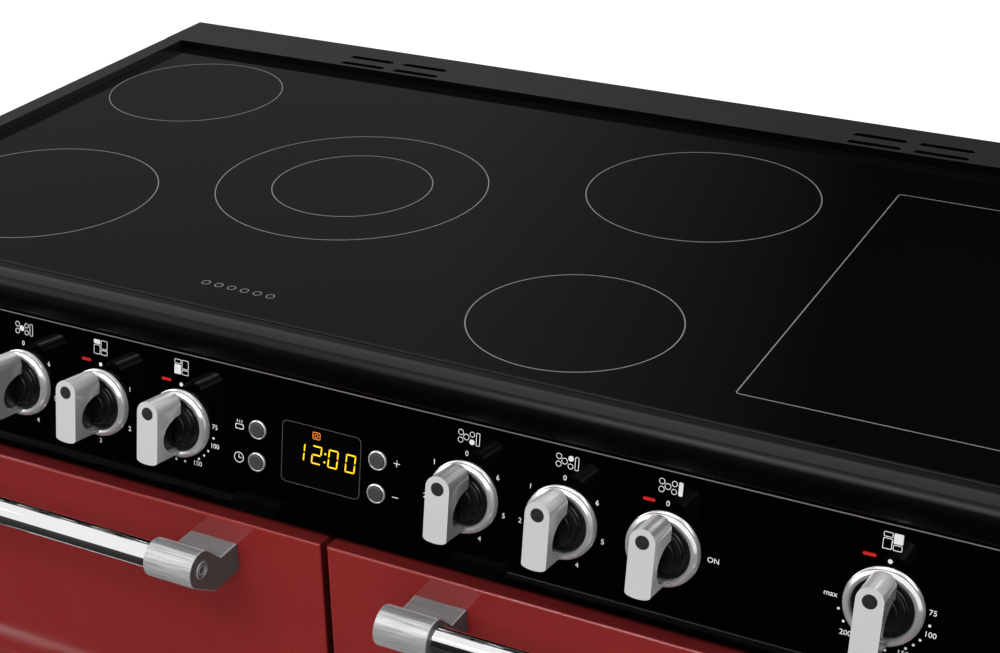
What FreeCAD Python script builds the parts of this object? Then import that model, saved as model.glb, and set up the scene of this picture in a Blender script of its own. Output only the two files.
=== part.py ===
"""A 100 cm electric range cooker with a ceramic glass hob.

Frame: the origin lies on the floor, in the middle of the width and of the depth over the
handles. +X is to the right of somebody who stands in front, +Y is to the rear, +Z is up.
Everything is in millimetres. The driving sizes are in the table SIZES, which becomes the
spreadsheet Dims; every feature is bound to those cells.
"""
import FreeCAD, Part
import Sketcher
import math
import os

SIZES = [
    # overall
    ("width", 995, "hob, over the side trims"),
    ("height", 900, "floor to the top of the hob trims"),
    ("depth", 635, "rear trim to the front of the handles"),
    ("handle_reach", 57, "door face to the front of a handle"),
    # hob
    ("trim_rise", 7, "trims above the glass"),
    ("side_trim", 18, "width of a side trim"),
    ("rear_trim", 57, "depth of the rear vent trim"),
    ("skirt", 42, "height of the hob's outer skirt"),
    ("sheet", 1.5, "folded steel sheet"),
    ("ledge", 8, "ledge under the edge of the glass"),
    ("glass_thick", 4, "ceramic glass"),
    ("glass_gap", 0.5, "joint round the glass"),
    ("nose_radius", 16, "round nose along the front of the hob"),
    ("nose_return", 7, "flat return under the nose"),
    ("nose_setback", 19.7, "front of the nose behind the door faces"),
    ("front_lip", 8.4, "flat strip between the glass and the nose"),
    ("lip_bead", 3.2, "width of the raised bead beside the glass"),
    ("bead_rise", 0.8, "height of that bead"),
    ("slot_length", 46.9, "vent slot, end to end"),
    ("slot_width", 6.5, "vent slot"),
    ("slot_pitch_x", 56.8, "from slot to slot along a row"),
    ("slot_pitch_y", 18, "from row to row"),
    ("slot_group_x", 248, "centre of a vent group from the middle"),
    ("slot_group_y", 40, "centre of a vent group in front of the back"),
    # cooking zones, radius and place on the glass
    ("zone_wall", 5, "wall of an element's dish"),
    ("zone_floor", 3, "floor of an element's dish"),
    ("zone_inset", 2, "dish inside its printed ring"),
    ("warm_left", 265, "warming zone, left edge"),
    ("warm_right", 459, "warming zone, right edge"),
    ("warm_front", -177, "warming zone, front edge"),
    ("warm_back", 189, "warming zone, rear edge"),
    # control fascia
    ("fascia_tilt", 9.7, "degrees that the fascia leans back"),
    ("fascia_length", 108, "top to bottom, along the slope"),
    ("fascia_thick", 4, "glass of the fascia"),
    ("fascia_drop", 33, "top of the fascia below the cooking glass"),
    ("fascia_setback", 29.4, "top of the fascia behind the door faces"),
    ("carrier_depth", 9, "flanges of the fascia's carrier"),
    ("knob_line", 53.2, "knob centres below the top of the fascia"),
    ("knob_pitch", 71.6, "from knob to knob"),
    ("knob_first_right", 101.8, "first knob right of the clock"),
    ("knob_first_left", -128.3, "first knob left of the clock"),
    ("bezel_radius", 25.2, "outside of a knob's ring"),
    ("bezel_bore", 19.7, "inside of a knob's ring"),
    ("bezel_height", 6.5, "front of the ring, proud of the fascia"),
    ("knob_gap", 0.5, "running gap between a knob and its ring"),
    ("knob_reach", 39.5, "front of the grip, proud of the fascia"),
    ("grip_width", 17.4, "width of the grip"),
    ("grip_top", 27.5, "grip above the knob's axis"),
    ("grip_foot", 19.5, "grip below the knob's axis"),
    ("grip_depth", 27, "thickness of the bright grip"),
    ("arch_radius", 17, "arch under the grip"),
    ("arch_lift", 1, "centre of the arch above the knob's axis"),
    ("spindle_radius", 3, "spindle of a switch"),
    ("spindle_gap", 0.05, "running gap round a spindle"),
    ("button_radius", 5.6, "clock button"),
    ("button_gap", 0.3, "gap round a clock button"),
    ("button_reach", 2.5, "clock button proud of the fascia"),
    ("display_left", -42.2, "clock window, left edge"),
    ("display_width", 63.2, "clock window"),
    ("display_top", 31, "clock window below the top of the fascia"),
    ("display_height", 45.2, "clock window"),
    # casing
    ("case_inset", 2, "side panels inside the hob trims"),
    ("panel_flange", 17.5, "flange round a side panel"),
    ("rear_gap", 25, "back panel in front of the rear of the hob"),
    ("base_height", 90, "underside of the base above the floor"),
    ("base_rim", 18, "upturned rim of the base"),
    ("foot_side", 65.5, "levelling feet from the casing's sides"),
    ("foot_front", 52, "front feet behind the casing's front"),
    ("foot_rear", 40, "rear feet in front of the back panel"),
    ("foot_radius", 20, "pad of a levelling foot"),
    # doors
    ("front_bottom", 100, "lowest door edge above the floor"),
    ("front_gap", 2.544, "fascia to the highest door edge"),
    ("door_gap", 5.5, "gap between the two columns"),
    ("door_edge", 1, "doors inside the hob's width"),
    ("row_gap", 8, "gap between an upper and a lower front"),
    ("grill_height", 195, "height of the grill door"),
    ("tall_height", 412, "height of the right oven door"),
    ("skin_depth", 20, "depth of a door's outer skin"),
    ("skin_round", 4, "rounding of a door's front edges"),
    ("door_thick", 38, "door, face to inner pan"),
    ("pan_inset", 12, "inner pan inside the skin"),
    ("seal_thick", 5, "door to the casing"),
    ("seal_width", 9, "oven door seal"),
    ("pane", 4, "door glass"),
    ("window_side", 70, "door window from the door's sides"),
    ("window_top", 105, "door window from the door's top"),
    ("window_bottom", 90, "door window from the door's bottom"),
    ("window_round", 14, "corner of a door window"),
    ("hinge_in", 12, "hinge axis behind the door face"),
    ("hinge_up", 14, "hinge axis from the door's edge"),
    ("hinge_pin", 4, "radius of a hinge pin"),
    ("hinge_gap", 0.05, "running gap round a hinge pin"),
    ("hinge_plate", 4, "thickness of a hinge plate"),
    # handles
    ("handle_drop", 15, "handle axis below the door's top edge"),
    ("handle_axis", 43, "handle axis in front of the door"),
    ("sleeve_radius", 14, "round end of a handle bracket"),
    ("bar_radius", 10, "handle bar"),
    ("bracket_width", 40, "handle bracket along the bar"),
    ("bracket_side", 70, "handle bracket from the door's sides"),
    ("arm_top", 3, "arm's top below the handle axis"),
    ("arm_bottom", 26, "arm's underside below the handle axis"),
    ("arm_front", 30, "lower front corner of the arm"),
    # cavities
    ("cavity_width", 420, "inside of an oven"),
    ("cavity_depth", 400, "inside of an oven"),
    ("grill_rise", 39, "grill floor above its door's lower edge"),
    ("grill_drop", 26, "grill roof below its door's upper edge"),
    ("main_rise", 50, "main oven floor above its door's lower edge"),
    ("main_drop", 53, "main oven roof below its door's upper edge"),
    ("tall_rise", 46, "right oven floor above its door's lower edge"),
    ("tall_drop", 36, "right oven roof below its door's upper edge"),
    ("rib_out", 8, "shelf rib, out of the wall"),
    ("rib_high", 4, "shelf rib"),
    ("shelf_gap", 1.5, "shelf to oven wall"),
    ("shelf_wire", 1.5, "radius of a shelf's wires"),
    ("shelf_rod", 3, "radius of a shelf's frame"),
    ("fan_radius", 68, "oven fan"),
    ("fan_depth", 22, "oven fan"),
    ("fan_back_gap", 12, "oven fan to the rear wall"),
    ("baffle_depth", 48, "fan cover in front of the rear wall"),
    # drawer
    ("drawer_rise", 28, "drawer floor above its front's lower edge"),
    ("drawer_drop", 53, "drawer's sides below its front's upper edge"),
    ("drawer_depth", 395, "drawer box, front to back"),
    ("bay_clear", 0.5, "drawer bay above the rim of the base"),
    ("bay_drop", 19, "bay roof below the drawer front's upper edge"),
    ("bay_depth", 430, "drawer bay"),
    ("runner_depth", 11, "fixed runner, out of the bay's wall"),
    ("runner_height", 18, "fixed runner"),
    ("runner_gap", 0.3, "running gap in a runner"),
]

doc = FreeCAD.newDocument("range_cooker")
sheet = doc.addObject("Spreadsheet::Sheet", "Dims")
V = FreeCAD.Vector


class Size:
    """A number with the spreadsheet expression that it comes from."""

    def __init__(self, value, text):
        self.value = float(value)
        self.text = text

    def __add__(self, other):
        return Size(self.value + num(other), "(%s + %s)" % (self.text, txt(other)))

    def __sub__(self, other):
        return Size(self.value - num(other), "(%s - %s)" % (self.text, txt(other)))

    def __mul__(self, other):
        return Size(self.value * num(other), "(%s * %s)" % (self.text, txt(other)))

    def __truediv__(self, other):
        return Size(self.value / num(other), "(%s / %s)" % (self.text, txt(other)))

    def __radd__(self, other):
        return Size(num(other) + self.value, "(%s + %s)" % (txt(other), self.text))

    def __rsub__(self, other):
        return Size(num(other) - self.value, "(%s - %s)" % (txt(other), self.text))

    def __rmul__(self, other):
        return Size(num(other) * self.value, "(%s * %s)" % (txt(other), self.text))

    def __neg__(self):
        return Size(-self.value, "(0 - %s)" % self.text)


def num(size):
    return size.value if isinstance(size, Size) else float(size)


def txt(size):
    if isinstance(size, Size):
        return size.text
    return "%.6f" % size if size >= 0 else "(0 - %.6f)" % -size


def sine(angle):
    return Size(math.sin(math.radians(num(angle))), "sin(%s)" % txt(angle))


def cosine(angle):
    return Size(math.cos(math.radians(num(angle))), "cos(%s)" % txt(angle))


def root(size):
    return Size(math.sqrt(num(size)), "sqrt(%s)" % txt(size))


class Dims:
    """The driving sizes, by name."""


d = Dims()
for row, (alias, value, meaning) in enumerate(SIZES, start=1):
    sheet.set("A%d" % row, alias)
    sheet.set("B%d" % row, str(value))
    sheet.set("C%d" % row, meaning)
    sheet.setAlias("B%d" % row, alias)
    setattr(d, alias, Size(value, "Dims.%s" % alias))
doc.recompute()


# ---------------------------------------------------------------- building helpers

NODES = {}


def bind(obj, prop, size):
    obj.setExpression(prop, txt(size))


def place(obj, x=0, y=0, z=0):
    for axis, size in zip("xyz", (x, y, z)):
        bind(obj, "Placement.Base.%s" % axis, size)
    return obj


def block(name, x, y, z):
    """A box between two corners: x, y and z are (low, high) pairs."""
    box = doc.addObject("Part::Box", name)
    for prop, (low, high) in (("Length", x), ("Width", y), ("Height", z)):
        bind(box, prop, high - low if isinstance(high, Size) else Size(num(high), txt(high)) - low)
    return place(box, x[0], y[0], z[0])


def rod(name, radius, length, x, y, z, along="z"):
    """A cylinder that starts at x, y, z and runs in the positive direction of an axis."""
    cylinder = doc.addObject("Part::Cylinder", name)
    bind(cylinder, "Radius", radius)
    bind(cylinder, "Height", length)
    turn = {"x": FreeCAD.Rotation(V(0, 1, 0), 90),
            "y": FreeCAD.Rotation(V(1, 0, 0), -90),
            "z": FreeCAD.Rotation()}[along]
    cylinder.Placement = FreeCAD.Placement(V(0, 0, 0), turn)
    return place(cylinder, x, y, z)


def fuse(name, parts):
    result = doc.addObject("Part::MultiFuse", name)
    result.Shapes = list(parts)
    result.Refine = True
    return result


def cut(name, base, tools):
    tools = list(tools)
    result = doc.addObject("Part::Cut", name)
    result.Base = base
    result.Tool = tools[0] if len(tools) == 1 else fuse(name + "_tools", tools)
    result.Refine = True
    return result


def group(name, parts):
    result = doc.addObject("Part::Compound", name)
    result.Links = list(parts)
    return result


def node(label, obj):
    obj.Label = label
    NODES[label] = obj
    return obj


def plane_of(body, name):
    return [f for f in body.Origin.OriginFeatures if f.Role == name][0]


def new_body(name):
    return doc.addObject("PartDesign::Body", name)


def sketch(body, plane, offset, loops):
    """Closed loops on one of the body's origin planes, moved along the plane's normal.

    A loop is ("circle", u, v, radius), or a list of corners (u, v). The edge that leaves a
    corner is an arc where the corner has more: (u, v, centre u, centre v, radius, turn), with
    turn +1 counter-clockwise and -1 clockwise.
    """
    drawing = body.newObject("Sketcher::SketchObject", body.Name + "_sketch")
    drawing.AttachmentSupport = [(plane_of(body, plane), "")]
    drawing.MapMode = "FlatFace"
    bind(drawing, "AttachmentOffset.Base.z", offset)
    for loop in loops:
        if loop[0] == "circle":
            add_circle(drawing, loop[1], loop[2], loop[3])
        else:
            add_outline(drawing, loop)
    return drawing


def add_datum(drawing, kind, size, *where):
    index = drawing.addConstraint(Sketcher.Constraint(kind, *where, num(size)))
    if isinstance(size, Size):
        drawing.setExpression("Constraints[%d]" % index, txt(size))


def add_circle(drawing, u, v, radius):
    edge = drawing.addGeometry(Part.Circle(V(num(u), num(v), 0), V(0, 0, 1), num(radius)))
    add_datum(drawing, "DistanceX", u, -1, 1, edge, 3)
    add_datum(drawing, "DistanceY", v, -1, 1, edge, 3)
    add_datum(drawing, "Radius", radius, edge)


def add_outline(drawing, corners):
    count = len(corners)
    edges = []
    for i, corner in enumerate(corners):
        after = corners[(i + 1) % count]
        start = V(num(corner[0]), num(corner[1]), 0)
        end = V(num(after[0]), num(after[1]), 0)
        if len(corner) == 2:
            edges.append((drawing.addGeometry(Part.LineSegment(start, end)), 1, 2))
            continue
        centre = V(num(corner[2]), num(corner[3]), 0)
        first, last = (start, end) if corner[5] > 0 else (end, start)
        low = math.atan2(first.y - centre.y, first.x - centre.x)
        high = math.atan2(last.y - centre.y, last.x - centre.x)
        if high <= low:
            high += 2 * math.pi
        circle = Part.Circle(centre, V(0, 0, 1), num(corner[4]))
        edge = drawing.addGeometry(Part.ArcOfCircle(circle, low, high))
        edges.append((edge, 1, 2) if corner[5] > 0 else (edge, 2, 1))
    for i, (edge, _, end) in enumerate(edges):
        after, start, _ = edges[(i + 1) % count]
        drawing.addConstraint(Sketcher.Constraint("Coincident", edge, end, after, start))
    for (edge, start, _), corner in zip(edges, corners):
        add_datum(drawing, "DistanceX", corner[0], -1, 1, edge, start)
        add_datum(drawing, "DistanceY", corner[1], -1, 1, edge, start)
    for i, ((edge, _, _), corner) in enumerate(zip(edges, corners)):
        if len(corner) == 2:
            continue
        # both ends are placed, so one coordinate of the centre settles the arc
        after = corners[(i + 1) % count]
        wide = abs(num(after[0]) - num(corner[0]))
        high = abs(num(after[1]) - num(corner[1]))
        if wide < high:
            add_datum(drawing, "DistanceX", corner[2], -1, 1, edge, 3)
        else:
            add_datum(drawing, "DistanceY", corner[3], -1, 1, edge, 3)


def pad(body, plane, start, length, loops):
    feature = body.newObject("PartDesign::Pad", body.Name + "_pad")
    feature.Profile = sketch(body, plane, start, loops)
    bind(feature, "Length", length)
    return feature


def pocket(body, plane, start, length, loops):
    """Cuts from the plane at start against the plane's normal, through length."""
    feature = body.newObject("PartDesign::Pocket", body.Name + "_pocket")
    feature.Profile = sketch(body, plane, start, loops)
    bind(feature, "Length", length)
    return feature


def turned(name, loops):
    """A body turned about its own Z axis from an outline of (radius, height) corners."""
    body = new_body(name)
    feature = body.newObject("PartDesign::Revolution", name + "_turn")
    feature.Profile = sketch(body, "XZ_Plane", 0, loops)
    feature.ReferenceAxis = (feature.Profile[0], ["V_Axis"])
    feature.Angle = 360
    return body


def rectangle(x0, x1, y0, y1):
    return [(x0, y0), (x1, y0), (x1, y1), (x0, y1)]


def rounded(x0, x1, y0, y1, r):
    return [(x0 + r, y0), (x1 - r, y0, x1 - r, y0 + r, r, 1), (x1, y0 + r),
            (x1, y1 - r, x1 - r, y1 - r, r, 1), (x1 - r, y1),
            (x0 + r, y1, x0 + r, y1 - r, r, 1), (x0, y1 - r), (x0, y0 + r, x0 + r, y0 + r, r, 1)]


def obround(u, v, length, width):
    """A slot along u with round ends."""
    r = width / 2
    left, right = u - length / 2 + r, u + length / 2 - r
    return [(left, v - r), (right, v - r, right, v, r, 1), (right, v + r),
            (left, v + r, left, v, r, 1)]


# ---------------------------------------------------------------- shared planes

back = d.depth / 2
door_face = d.handle_reach - d.depth / 2
glass_top = d.height - d.trim_rise
glass_under = glass_top - d.glass_thick
half = d.width / 2
trim_inner = half - d.side_trim
rear_trim_front = back - d.rear_trim
nose_y = door_face + d.nose_setback + d.nose_radius
lip_y = nose_y + d.front_lip
glass_front = lip_y + d.glass_gap
skirt_z = d.height - d.skirt
ledge_under = glass_under - d.sheet
tray_floor = glass_under - 24
case_half = half - d.case_inset
case_front = door_face + d.door_thick + d.seal_thick
panel_back = back - d.rear_gap
base_top = d.base_height + d.sheet + 0.5
column_x = (half - d.door_edge + d.door_gap / 2) / 2
front_width = half - d.door_edge - d.door_gap / 2
fascia_y = door_face + d.fascia_setback
fascia_z = glass_top - d.fascia_drop
front_top = fascia_z - d.fascia_length * cosine(d.fascia_tilt) - d.front_gap
grill_bottom = front_top - d.grill_height
tall_bottom = front_top - d.tall_height
main_top = grill_bottom - d.row_gap
drawer_top = tall_bottom - d.row_gap
flange_top = front_top + 1
flange_bottom = base_top + 2
grill_floor = grill_bottom + d.grill_rise
grill_inside = front_top - d.grill_drop - grill_floor
main_floor = d.front_bottom + d.main_rise
main_inside = main_top - d.main_drop - main_floor
tall_floor = tall_bottom + d.tall_rise
tall_inside = front_top - d.tall_drop - tall_floor
drawer_floor = d.front_bottom + d.drawer_rise
drawer_inside = drawer_top - d.drawer_drop - drawer_floor
bay_floor = base_top + d.base_rim + d.sheet + d.bay_clear
bay_height = drawer_top - d.bay_drop - bay_floor

ZONES = [
    # name, x, y, radius of the printed ring
    ("rear_left", -388, 156.5, 79),
    ("front_left", -360.5, -97, 94),
    ("centre", -138, 21, 110.3),
    ("front_right", 129.5, -126.7, 75.5),
    ("rear_right", 125.6, 122, 93),
]
CENTRE_INNER_RADIUS = 65


# ---------------------------------------------------------------- hob

def hob_surround():
    """Folded steel frame: round nose, bead and two raised side trims with a glass ledge."""
    front = new_body("surround_front")
    glass_line = glass_front + d.ledge
    nose_z = glass_top - d.nose_radius
    inner = d.nose_radius - d.sheet
    pad(front, "YZ_Plane", -half, d.width, [[
        (glass_line, ledge_under), (glass_line, glass_under), (lip_y, glass_under),
        (lip_y, glass_top + d.bead_rise), (lip_y - d.lip_bead, glass_top + d.bead_rise),
        (lip_y - d.lip_bead, glass_top),
        (nose_y, glass_top, nose_y, nose_z, d.nose_radius, 1),
        (nose_y, nose_z - d.nose_radius), (nose_y + d.nose_return, nose_z - d.nose_radius),
        (nose_y + d.nose_return, nose_z - inner),
        (nose_y, nose_z - inner, nose_y, nose_z, inner, -1),
        (nose_y, nose_z + inner), (lip_y - d.sheet, nose_z + inner),
        (lip_y - d.sheet, ledge_under)]])
    parts = [front]
    for side in (-1, 1):
        outer = half * side
        outer_in = (half - d.sheet) * side
        inner_out = (trim_inner + d.sheet) * side
        trim = new_body("surround_side")
        # XZ plane: its normal is -Y, so the sketch lies at the trim's rear end
        pad(trim, "XZ_Plane", -rear_trim_front, rear_trim_front - nose_y, [[
            (outer, skirt_z), (outer, d.height), (trim_inner * side, d.height),
            (trim_inner * side, glass_under), ((trim_inner - d.ledge) * side, glass_under),
            ((trim_inner - d.ledge) * side, ledge_under), (inner_out, ledge_under),
            (inner_out, d.height - d.sheet), (outer_in, d.height - d.sheet),
            (outer_in, skirt_z)]])
        parts.append(trim)
        cap = new_body("surround_cap")
        start = half - d.sheet if side > 0 else -half
        pad(cap, "YZ_Plane", start, d.sheet, [[
            (nose_y, glass_top, nose_y, nose_z, d.nose_radius, 1),
            (nose_y, nose_z - d.nose_radius), (nose_y + d.nose_return, nose_z - d.nose_radius),
            (nose_y + d.nose_return, glass_top)]])
        parts.append(cap)
        closer = new_body("surround_closer")
        start = trim_inner if side > 0 else -half
        pad(closer, "YZ_Plane", start, d.side_trim, [[
            (nose_y, glass_top - d.sheet), (nose_y + d.sheet, glass_top - d.sheet),
            (nose_y + d.sheet, d.height - d.sheet / 2), (nose_y, d.height - d.sheet / 2)]])
        parts.append(closer)
    return fuse("hob_surround", parts)


def rear_vent_trim():
    """Folded rear trim with two groups of four vent slots and closed ends."""
    trim = new_body("rear_trim")
    pad(trim, "YZ_Plane", -half, d.width, [[
        (back, skirt_z), (back, d.height), (rear_trim_front, d.height),
        (rear_trim_front, ledge_under), (rear_trim_front + d.sheet, ledge_under),
        (rear_trim_front + d.sheet, d.height - d.sheet), (back - d.sheet, d.height - d.sheet),
        (back - d.sheet, skirt_z)]])
    slots = []
    for side in (-1, 1):
        for column in (-0.5, 0.5):
            for row in (-0.5, 0.5):
                slots.append(obround(d.slot_group_x * side + d.slot_pitch_x * column,
                                     back - d.slot_group_y + d.slot_pitch_y * row,
                                     d.slot_length, d.slot_width))
    pocket(trim, "XY_Plane", d.height + 1, d.sheet + 2, slots)
    ends = []
    for low in (-half, half - d.sheet):
        ends.append(block("rear_trim_end", (low, low + d.sheet),
                          (rear_trim_front + d.sheet / 2, back - d.sheet / 2),
                          (skirt_z, d.height - d.sheet / 2)))
    ledge_x = trim_inner - d.ledge
    ledge = block("rear_ledge", (-ledge_x, ledge_x),
                  (rear_trim_front - d.ledge, rear_trim_front + d.sheet),
                  (ledge_under, glass_under))
    return fuse("rear_vent_trim", [trim, ledge] + ends)


def ceramic_glass():
    pane = new_body("glass_pane")
    edge = trim_inner - d.glass_gap
    pad(pane, "XY_Plane", glass_under, d.glass_thick,
        [rounded(-edge, edge, glass_front, rear_trim_front - d.glass_gap, 2)])
    return pane


def dish(name, radius, inner_ring=None):
    """A heating element's dish: floor, insulating wall and, for two rings, a middle wall."""
    outer = radius - d.zone_inset
    high = glass_under - tray_floor
    body = turned(name, [[
        (0, 0), (outer, 0), (outer, high), (outer - d.zone_wall, high),
        (outer - d.zone_wall, d.zone_floor), (0, d.zone_floor)]])
    if inner_ring is None:
        return body
    wall = body.newObject("PartDesign::Pad", name + "_ring")
    wall.Profile = sketch(body, "XY_Plane", 0, [
        ("circle", 0, 0, inner_ring), ("circle", 0, 0, inner_ring - d.zone_wall)])
    bind(wall, "Length", high)
    return body


def radiant_elements():
    dishes = []
    for name, x, y, radius in ZONES:
        inner = CENTRE_INNER_RADIUS if name == "centre" else None
        dishes.append(place(dish("element_" + name, radius, inner), x, y, tray_floor))
    x0, x1 = d.warm_left + d.zone_inset, d.warm_right - d.zone_inset
    y0, y1 = d.warm_front + d.zone_inset, d.warm_back - d.zone_inset
    outer = block("warming_outer", (x0, x1), (y0, y1), (tray_floor, glass_under))
    inner = block("warming_inner", (x0 + d.zone_wall, x1 - d.zone_wall),
                  (y0 + d.zone_wall, y1 - d.zone_wall), (tray_floor + d.zone_floor, glass_top))
    dishes.append(cut("warming_element", outer, [inner]))
    return group("radiant_elements", dishes)


def element_tray():
    """Pressed tray that hangs from the glass ledges and carries the heating elements."""
    x = trim_inner - 3
    y0, y1 = glass_front + 3, rear_trim_front - 3
    outer = block("tray_outer", (-x, x), (y0, y1), (tray_floor - d.sheet, ledge_under))
    inner = block("tray_inner", (d.sheet - x, x - d.sheet), (y0 + d.sheet, y1 - d.sheet),
                  (tray_floor, glass_top))
    return cut("element_tray", outer, [inner])


node("hob_surround", hob_surround())
node("rear_vent_trim", rear_vent_trim())
node("ceramic_glass", ceramic_glass())
node("radiant_elements", radiant_elements())
node("element_tray", element_tray())


# ---------------------------------------------------------------- casing

def side_panel(side):
    """Pressed side panel with a flange folded inwards all round."""
    z0, z1 = base_top, ledge_under
    y0, y1 = case_front + d.sheet, panel_back
    inner_x = case_half - d.panel_flange
    if side > 0:
        x, hollow = (inner_x, case_half), (inner_x - 1, case_half - d.sheet)
    else:
        x, hollow = (-case_half, -inner_x), (d.sheet - case_half, 1 - inner_x)
    outer = block("side_outer", x, (y0, y1), (z0, z1))
    inner = block("side_inner", hollow, (y0 + d.sheet, y1 - d.sheet),
                  (z0 + d.sheet, z1 - d.sheet))
    return cut("side_panel", outer, [inner])


def back_panel():
    """Back panel with two fields of louvre slots behind the ovens."""
    panel = new_body("back_sheet")
    edge = case_half - 1
    pad(panel, "XZ_Plane", -(panel_back + d.sheet), d.sheet,
        [rectangle(-edge, edge, base_top, skirt_z - 2)])
    slots = []
    for column in (-1, 1):
        for row in range(7):
            x, z = column_x * column, main_floor + 60 + 30 * row
            slots.append(rectangle(x - 75, x + 75, z - 4, z + 4))
    # the hole of the terminal box
    slots.append(rectangle(column_x + 130, column_x + 170, d.base_height + 75,
                           d.base_height + 105))
    feature = body_cut(panel, slots, panel_back - 1, d.sheet + 2)
    panel.Tip = feature
    return panel


def body_cut(body, loops, y_low, length):
    """Cuts loops of the XZ plane through a stretch of Y that starts at y_low."""
    feature = body.newObject("PartDesign::Pocket", body.Name + "_cut")
    # the normal is -Y, so a pocket (which goes against the normal) runs towards +Y
    feature.Profile = sketch(body, "XZ_Plane", -y_low, loops)
    bind(feature, "Length", length)
    return feature


def terminal_cover():
    """Cover of the supply terminals, with the cable's inlet in its underside."""
    x0, x1 = column_x + 100, column_x + 200
    z0, z1 = d.base_height + 50, d.base_height + 130
    y0, y1 = panel_back + d.sheet, back - 1
    outer = block("terminal_outer", (x0, x1), (y0, y1), (z0, z1))
    inner = block("terminal_inner", (x0 + 2, x1 - 2), (y0 - 1, y1 - 2), (z0 + 2, z1 - 2))
    inlet = rod("terminal_inlet", 8, 6, (x0 + x1) / 2, (y0 + y1) / 2 - 0.5, z0 - 2)
    return cut("terminal_cover", outer, [inner, inlet])


def base_frame():
    """Base plate with an upturned rim and two cross channels."""
    y0, y1 = case_front + d.sheet, panel_back
    plate = block("base_plate", (-case_half, case_half), (y0, y1), (d.base_height, base_top))
    x = case_half - d.panel_flange - 1
    rim_out = block("rim_out", (-x, x), (y0 + 2, y1 - 2), (base_top - 0.5, base_top + d.base_rim))
    rim_in = block("rim_in", (2 - x, x - 2), (y0 + 4, y1 - 4),
                   (base_top - 1, base_top + d.base_rim + 1))
    return fuse("base_frame", [plate, cut("base_rim", rim_out, [rim_in])])


def levelling_feet():
    feet = []
    for x in (d.foot_side - case_half, case_half - d.foot_side):
        for y in (case_front + d.foot_front, panel_back - d.foot_rear):
            foot = turned("foot", [[
                (0, 0), (d.foot_radius, 0), (d.foot_radius, 6), (5, 13),
                (5, d.base_height), (0, d.base_height)]])
            feet.append(place(foot, x, y, 0))
    return group("levelling_feet", feet)


def plinth():
    """Kick panel below the doors, folded at its top, with two end returns."""
    y0 = case_front + 14
    outer = block("plinth_outer", (-case_half + 3, case_half - 3), (y0, y0 + 24),
                  (12, d.base_height))
    inner = block("plinth_inner", (-case_half + 4.5, case_half - 4.5), (y0 + d.sheet, y0 + 25),
                  (10, d.base_height - d.sheet))
    return cut("plinth", outer, [inner])


def column_divider():
    """Upright between the two columns: a web with a flange at the front and at the back."""
    web = new_body("divider_web")
    y0, y1 = case_front + d.sheet, panel_back
    low = base_top + d.base_rim
    pad(web, "XY_Plane", low, flange_top - low, [[
        (-14, y0), (14, y0), (14, y0 + d.sheet), (1, y0 + d.sheet), (1, y1 - d.sheet),
        (14, y1 - d.sheet), (14, y1), (-14, y1), (-14, y1 - d.sheet), (-1, y1 - d.sheet),
        (-1, y0 + d.sheet), (-14, y0 + d.sheet)]])
    return web


node("side_panel_left", side_panel(-1))
node("side_panel_right", side_panel(1))
node("back_panel", back_panel())
node("terminal_cover", terminal_cover())
node("base_frame", base_frame())
node("levelling_feet", levelling_feet())
node("plinth", plinth())
node("column_divider", column_divider())


# ---------------------------------------------------------------- ovens

cavity_half = d.cavity_width / 2
oven_back = case_front + d.cavity_depth
flange_side = case_half - 1


def cavity(name, side, flange_low, flange_high, floor, inside, levels, fan):
    """Enamelled oven liner: five walls, a front flange and pressed shelf ribs."""
    centre = column_x * side
    inner_edge = 1.2 * side
    outer_edge = flange_side * side
    x_flange = (outer_edge, inner_edge) if side < 0 else (inner_edge, outer_edge)
    x_in = (centre - cavity_half, centre + cavity_half)
    x_out = (x_in[0] - d.sheet, x_in[1] + d.sheet)
    flange = block(name + "_flange", x_flange, (case_front, case_front + d.sheet),
                   (flange_low, flange_high))
    shell = block(name + "_shell", x_out, (case_front, oven_back + d.sheet),
                  (floor - d.sheet, floor + inside + d.sheet))
    hollow = block(name + "_hollow", x_in, (case_front - 5, oven_back), (floor, floor + inside))
    tools = [hollow]
    if fan:
        tools.append(rod(name + "_shaft_hole", 9, 10, centre, oven_back - 4,
                         floor + inside / 2, "y"))
    liner = cut(name + "_liner", fuse(name + "_walls", [flange, shell]), tools)
    ribs = []
    for level in levels:
        z = floor + inside * level
        y = (case_front + 12, oven_back - 60)
        ribs.append(block(name + "_rib", (x_in[0] - 0.5, x_in[0] + d.rib_out), y,
                          (z - d.rib_high, z)))
        ribs.append(block(name + "_rib", (x_in[1] - d.rib_out, x_in[1] + 0.5), y,
                          (z - d.rib_high, z)))
    return fuse(name, [liner] + ribs)


MAIN_LEVELS = (0.2, 0.45, 0.7)
TALL_LEVELS = (0.2, 0.42, 0.64)
GRILL_LEVELS = (0.35,)

main_split = main_top + d.row_gap / 2
drawer_split = drawer_top + d.row_gap / 2

node("grill_cavity", cavity("grill_cavity", -1, main_split, flange_top, grill_floor,
                            grill_inside, GRILL_LEVELS, False))
node("main_cavity", cavity("main_cavity", -1, flange_bottom, main_split, main_floor,
                           main_inside, MAIN_LEVELS, True))
node("tall_cavity", cavity("tall_cavity", 1, drawer_split, flange_top, tall_floor,
                           tall_inside, TALL_LEVELS, True))


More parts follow.
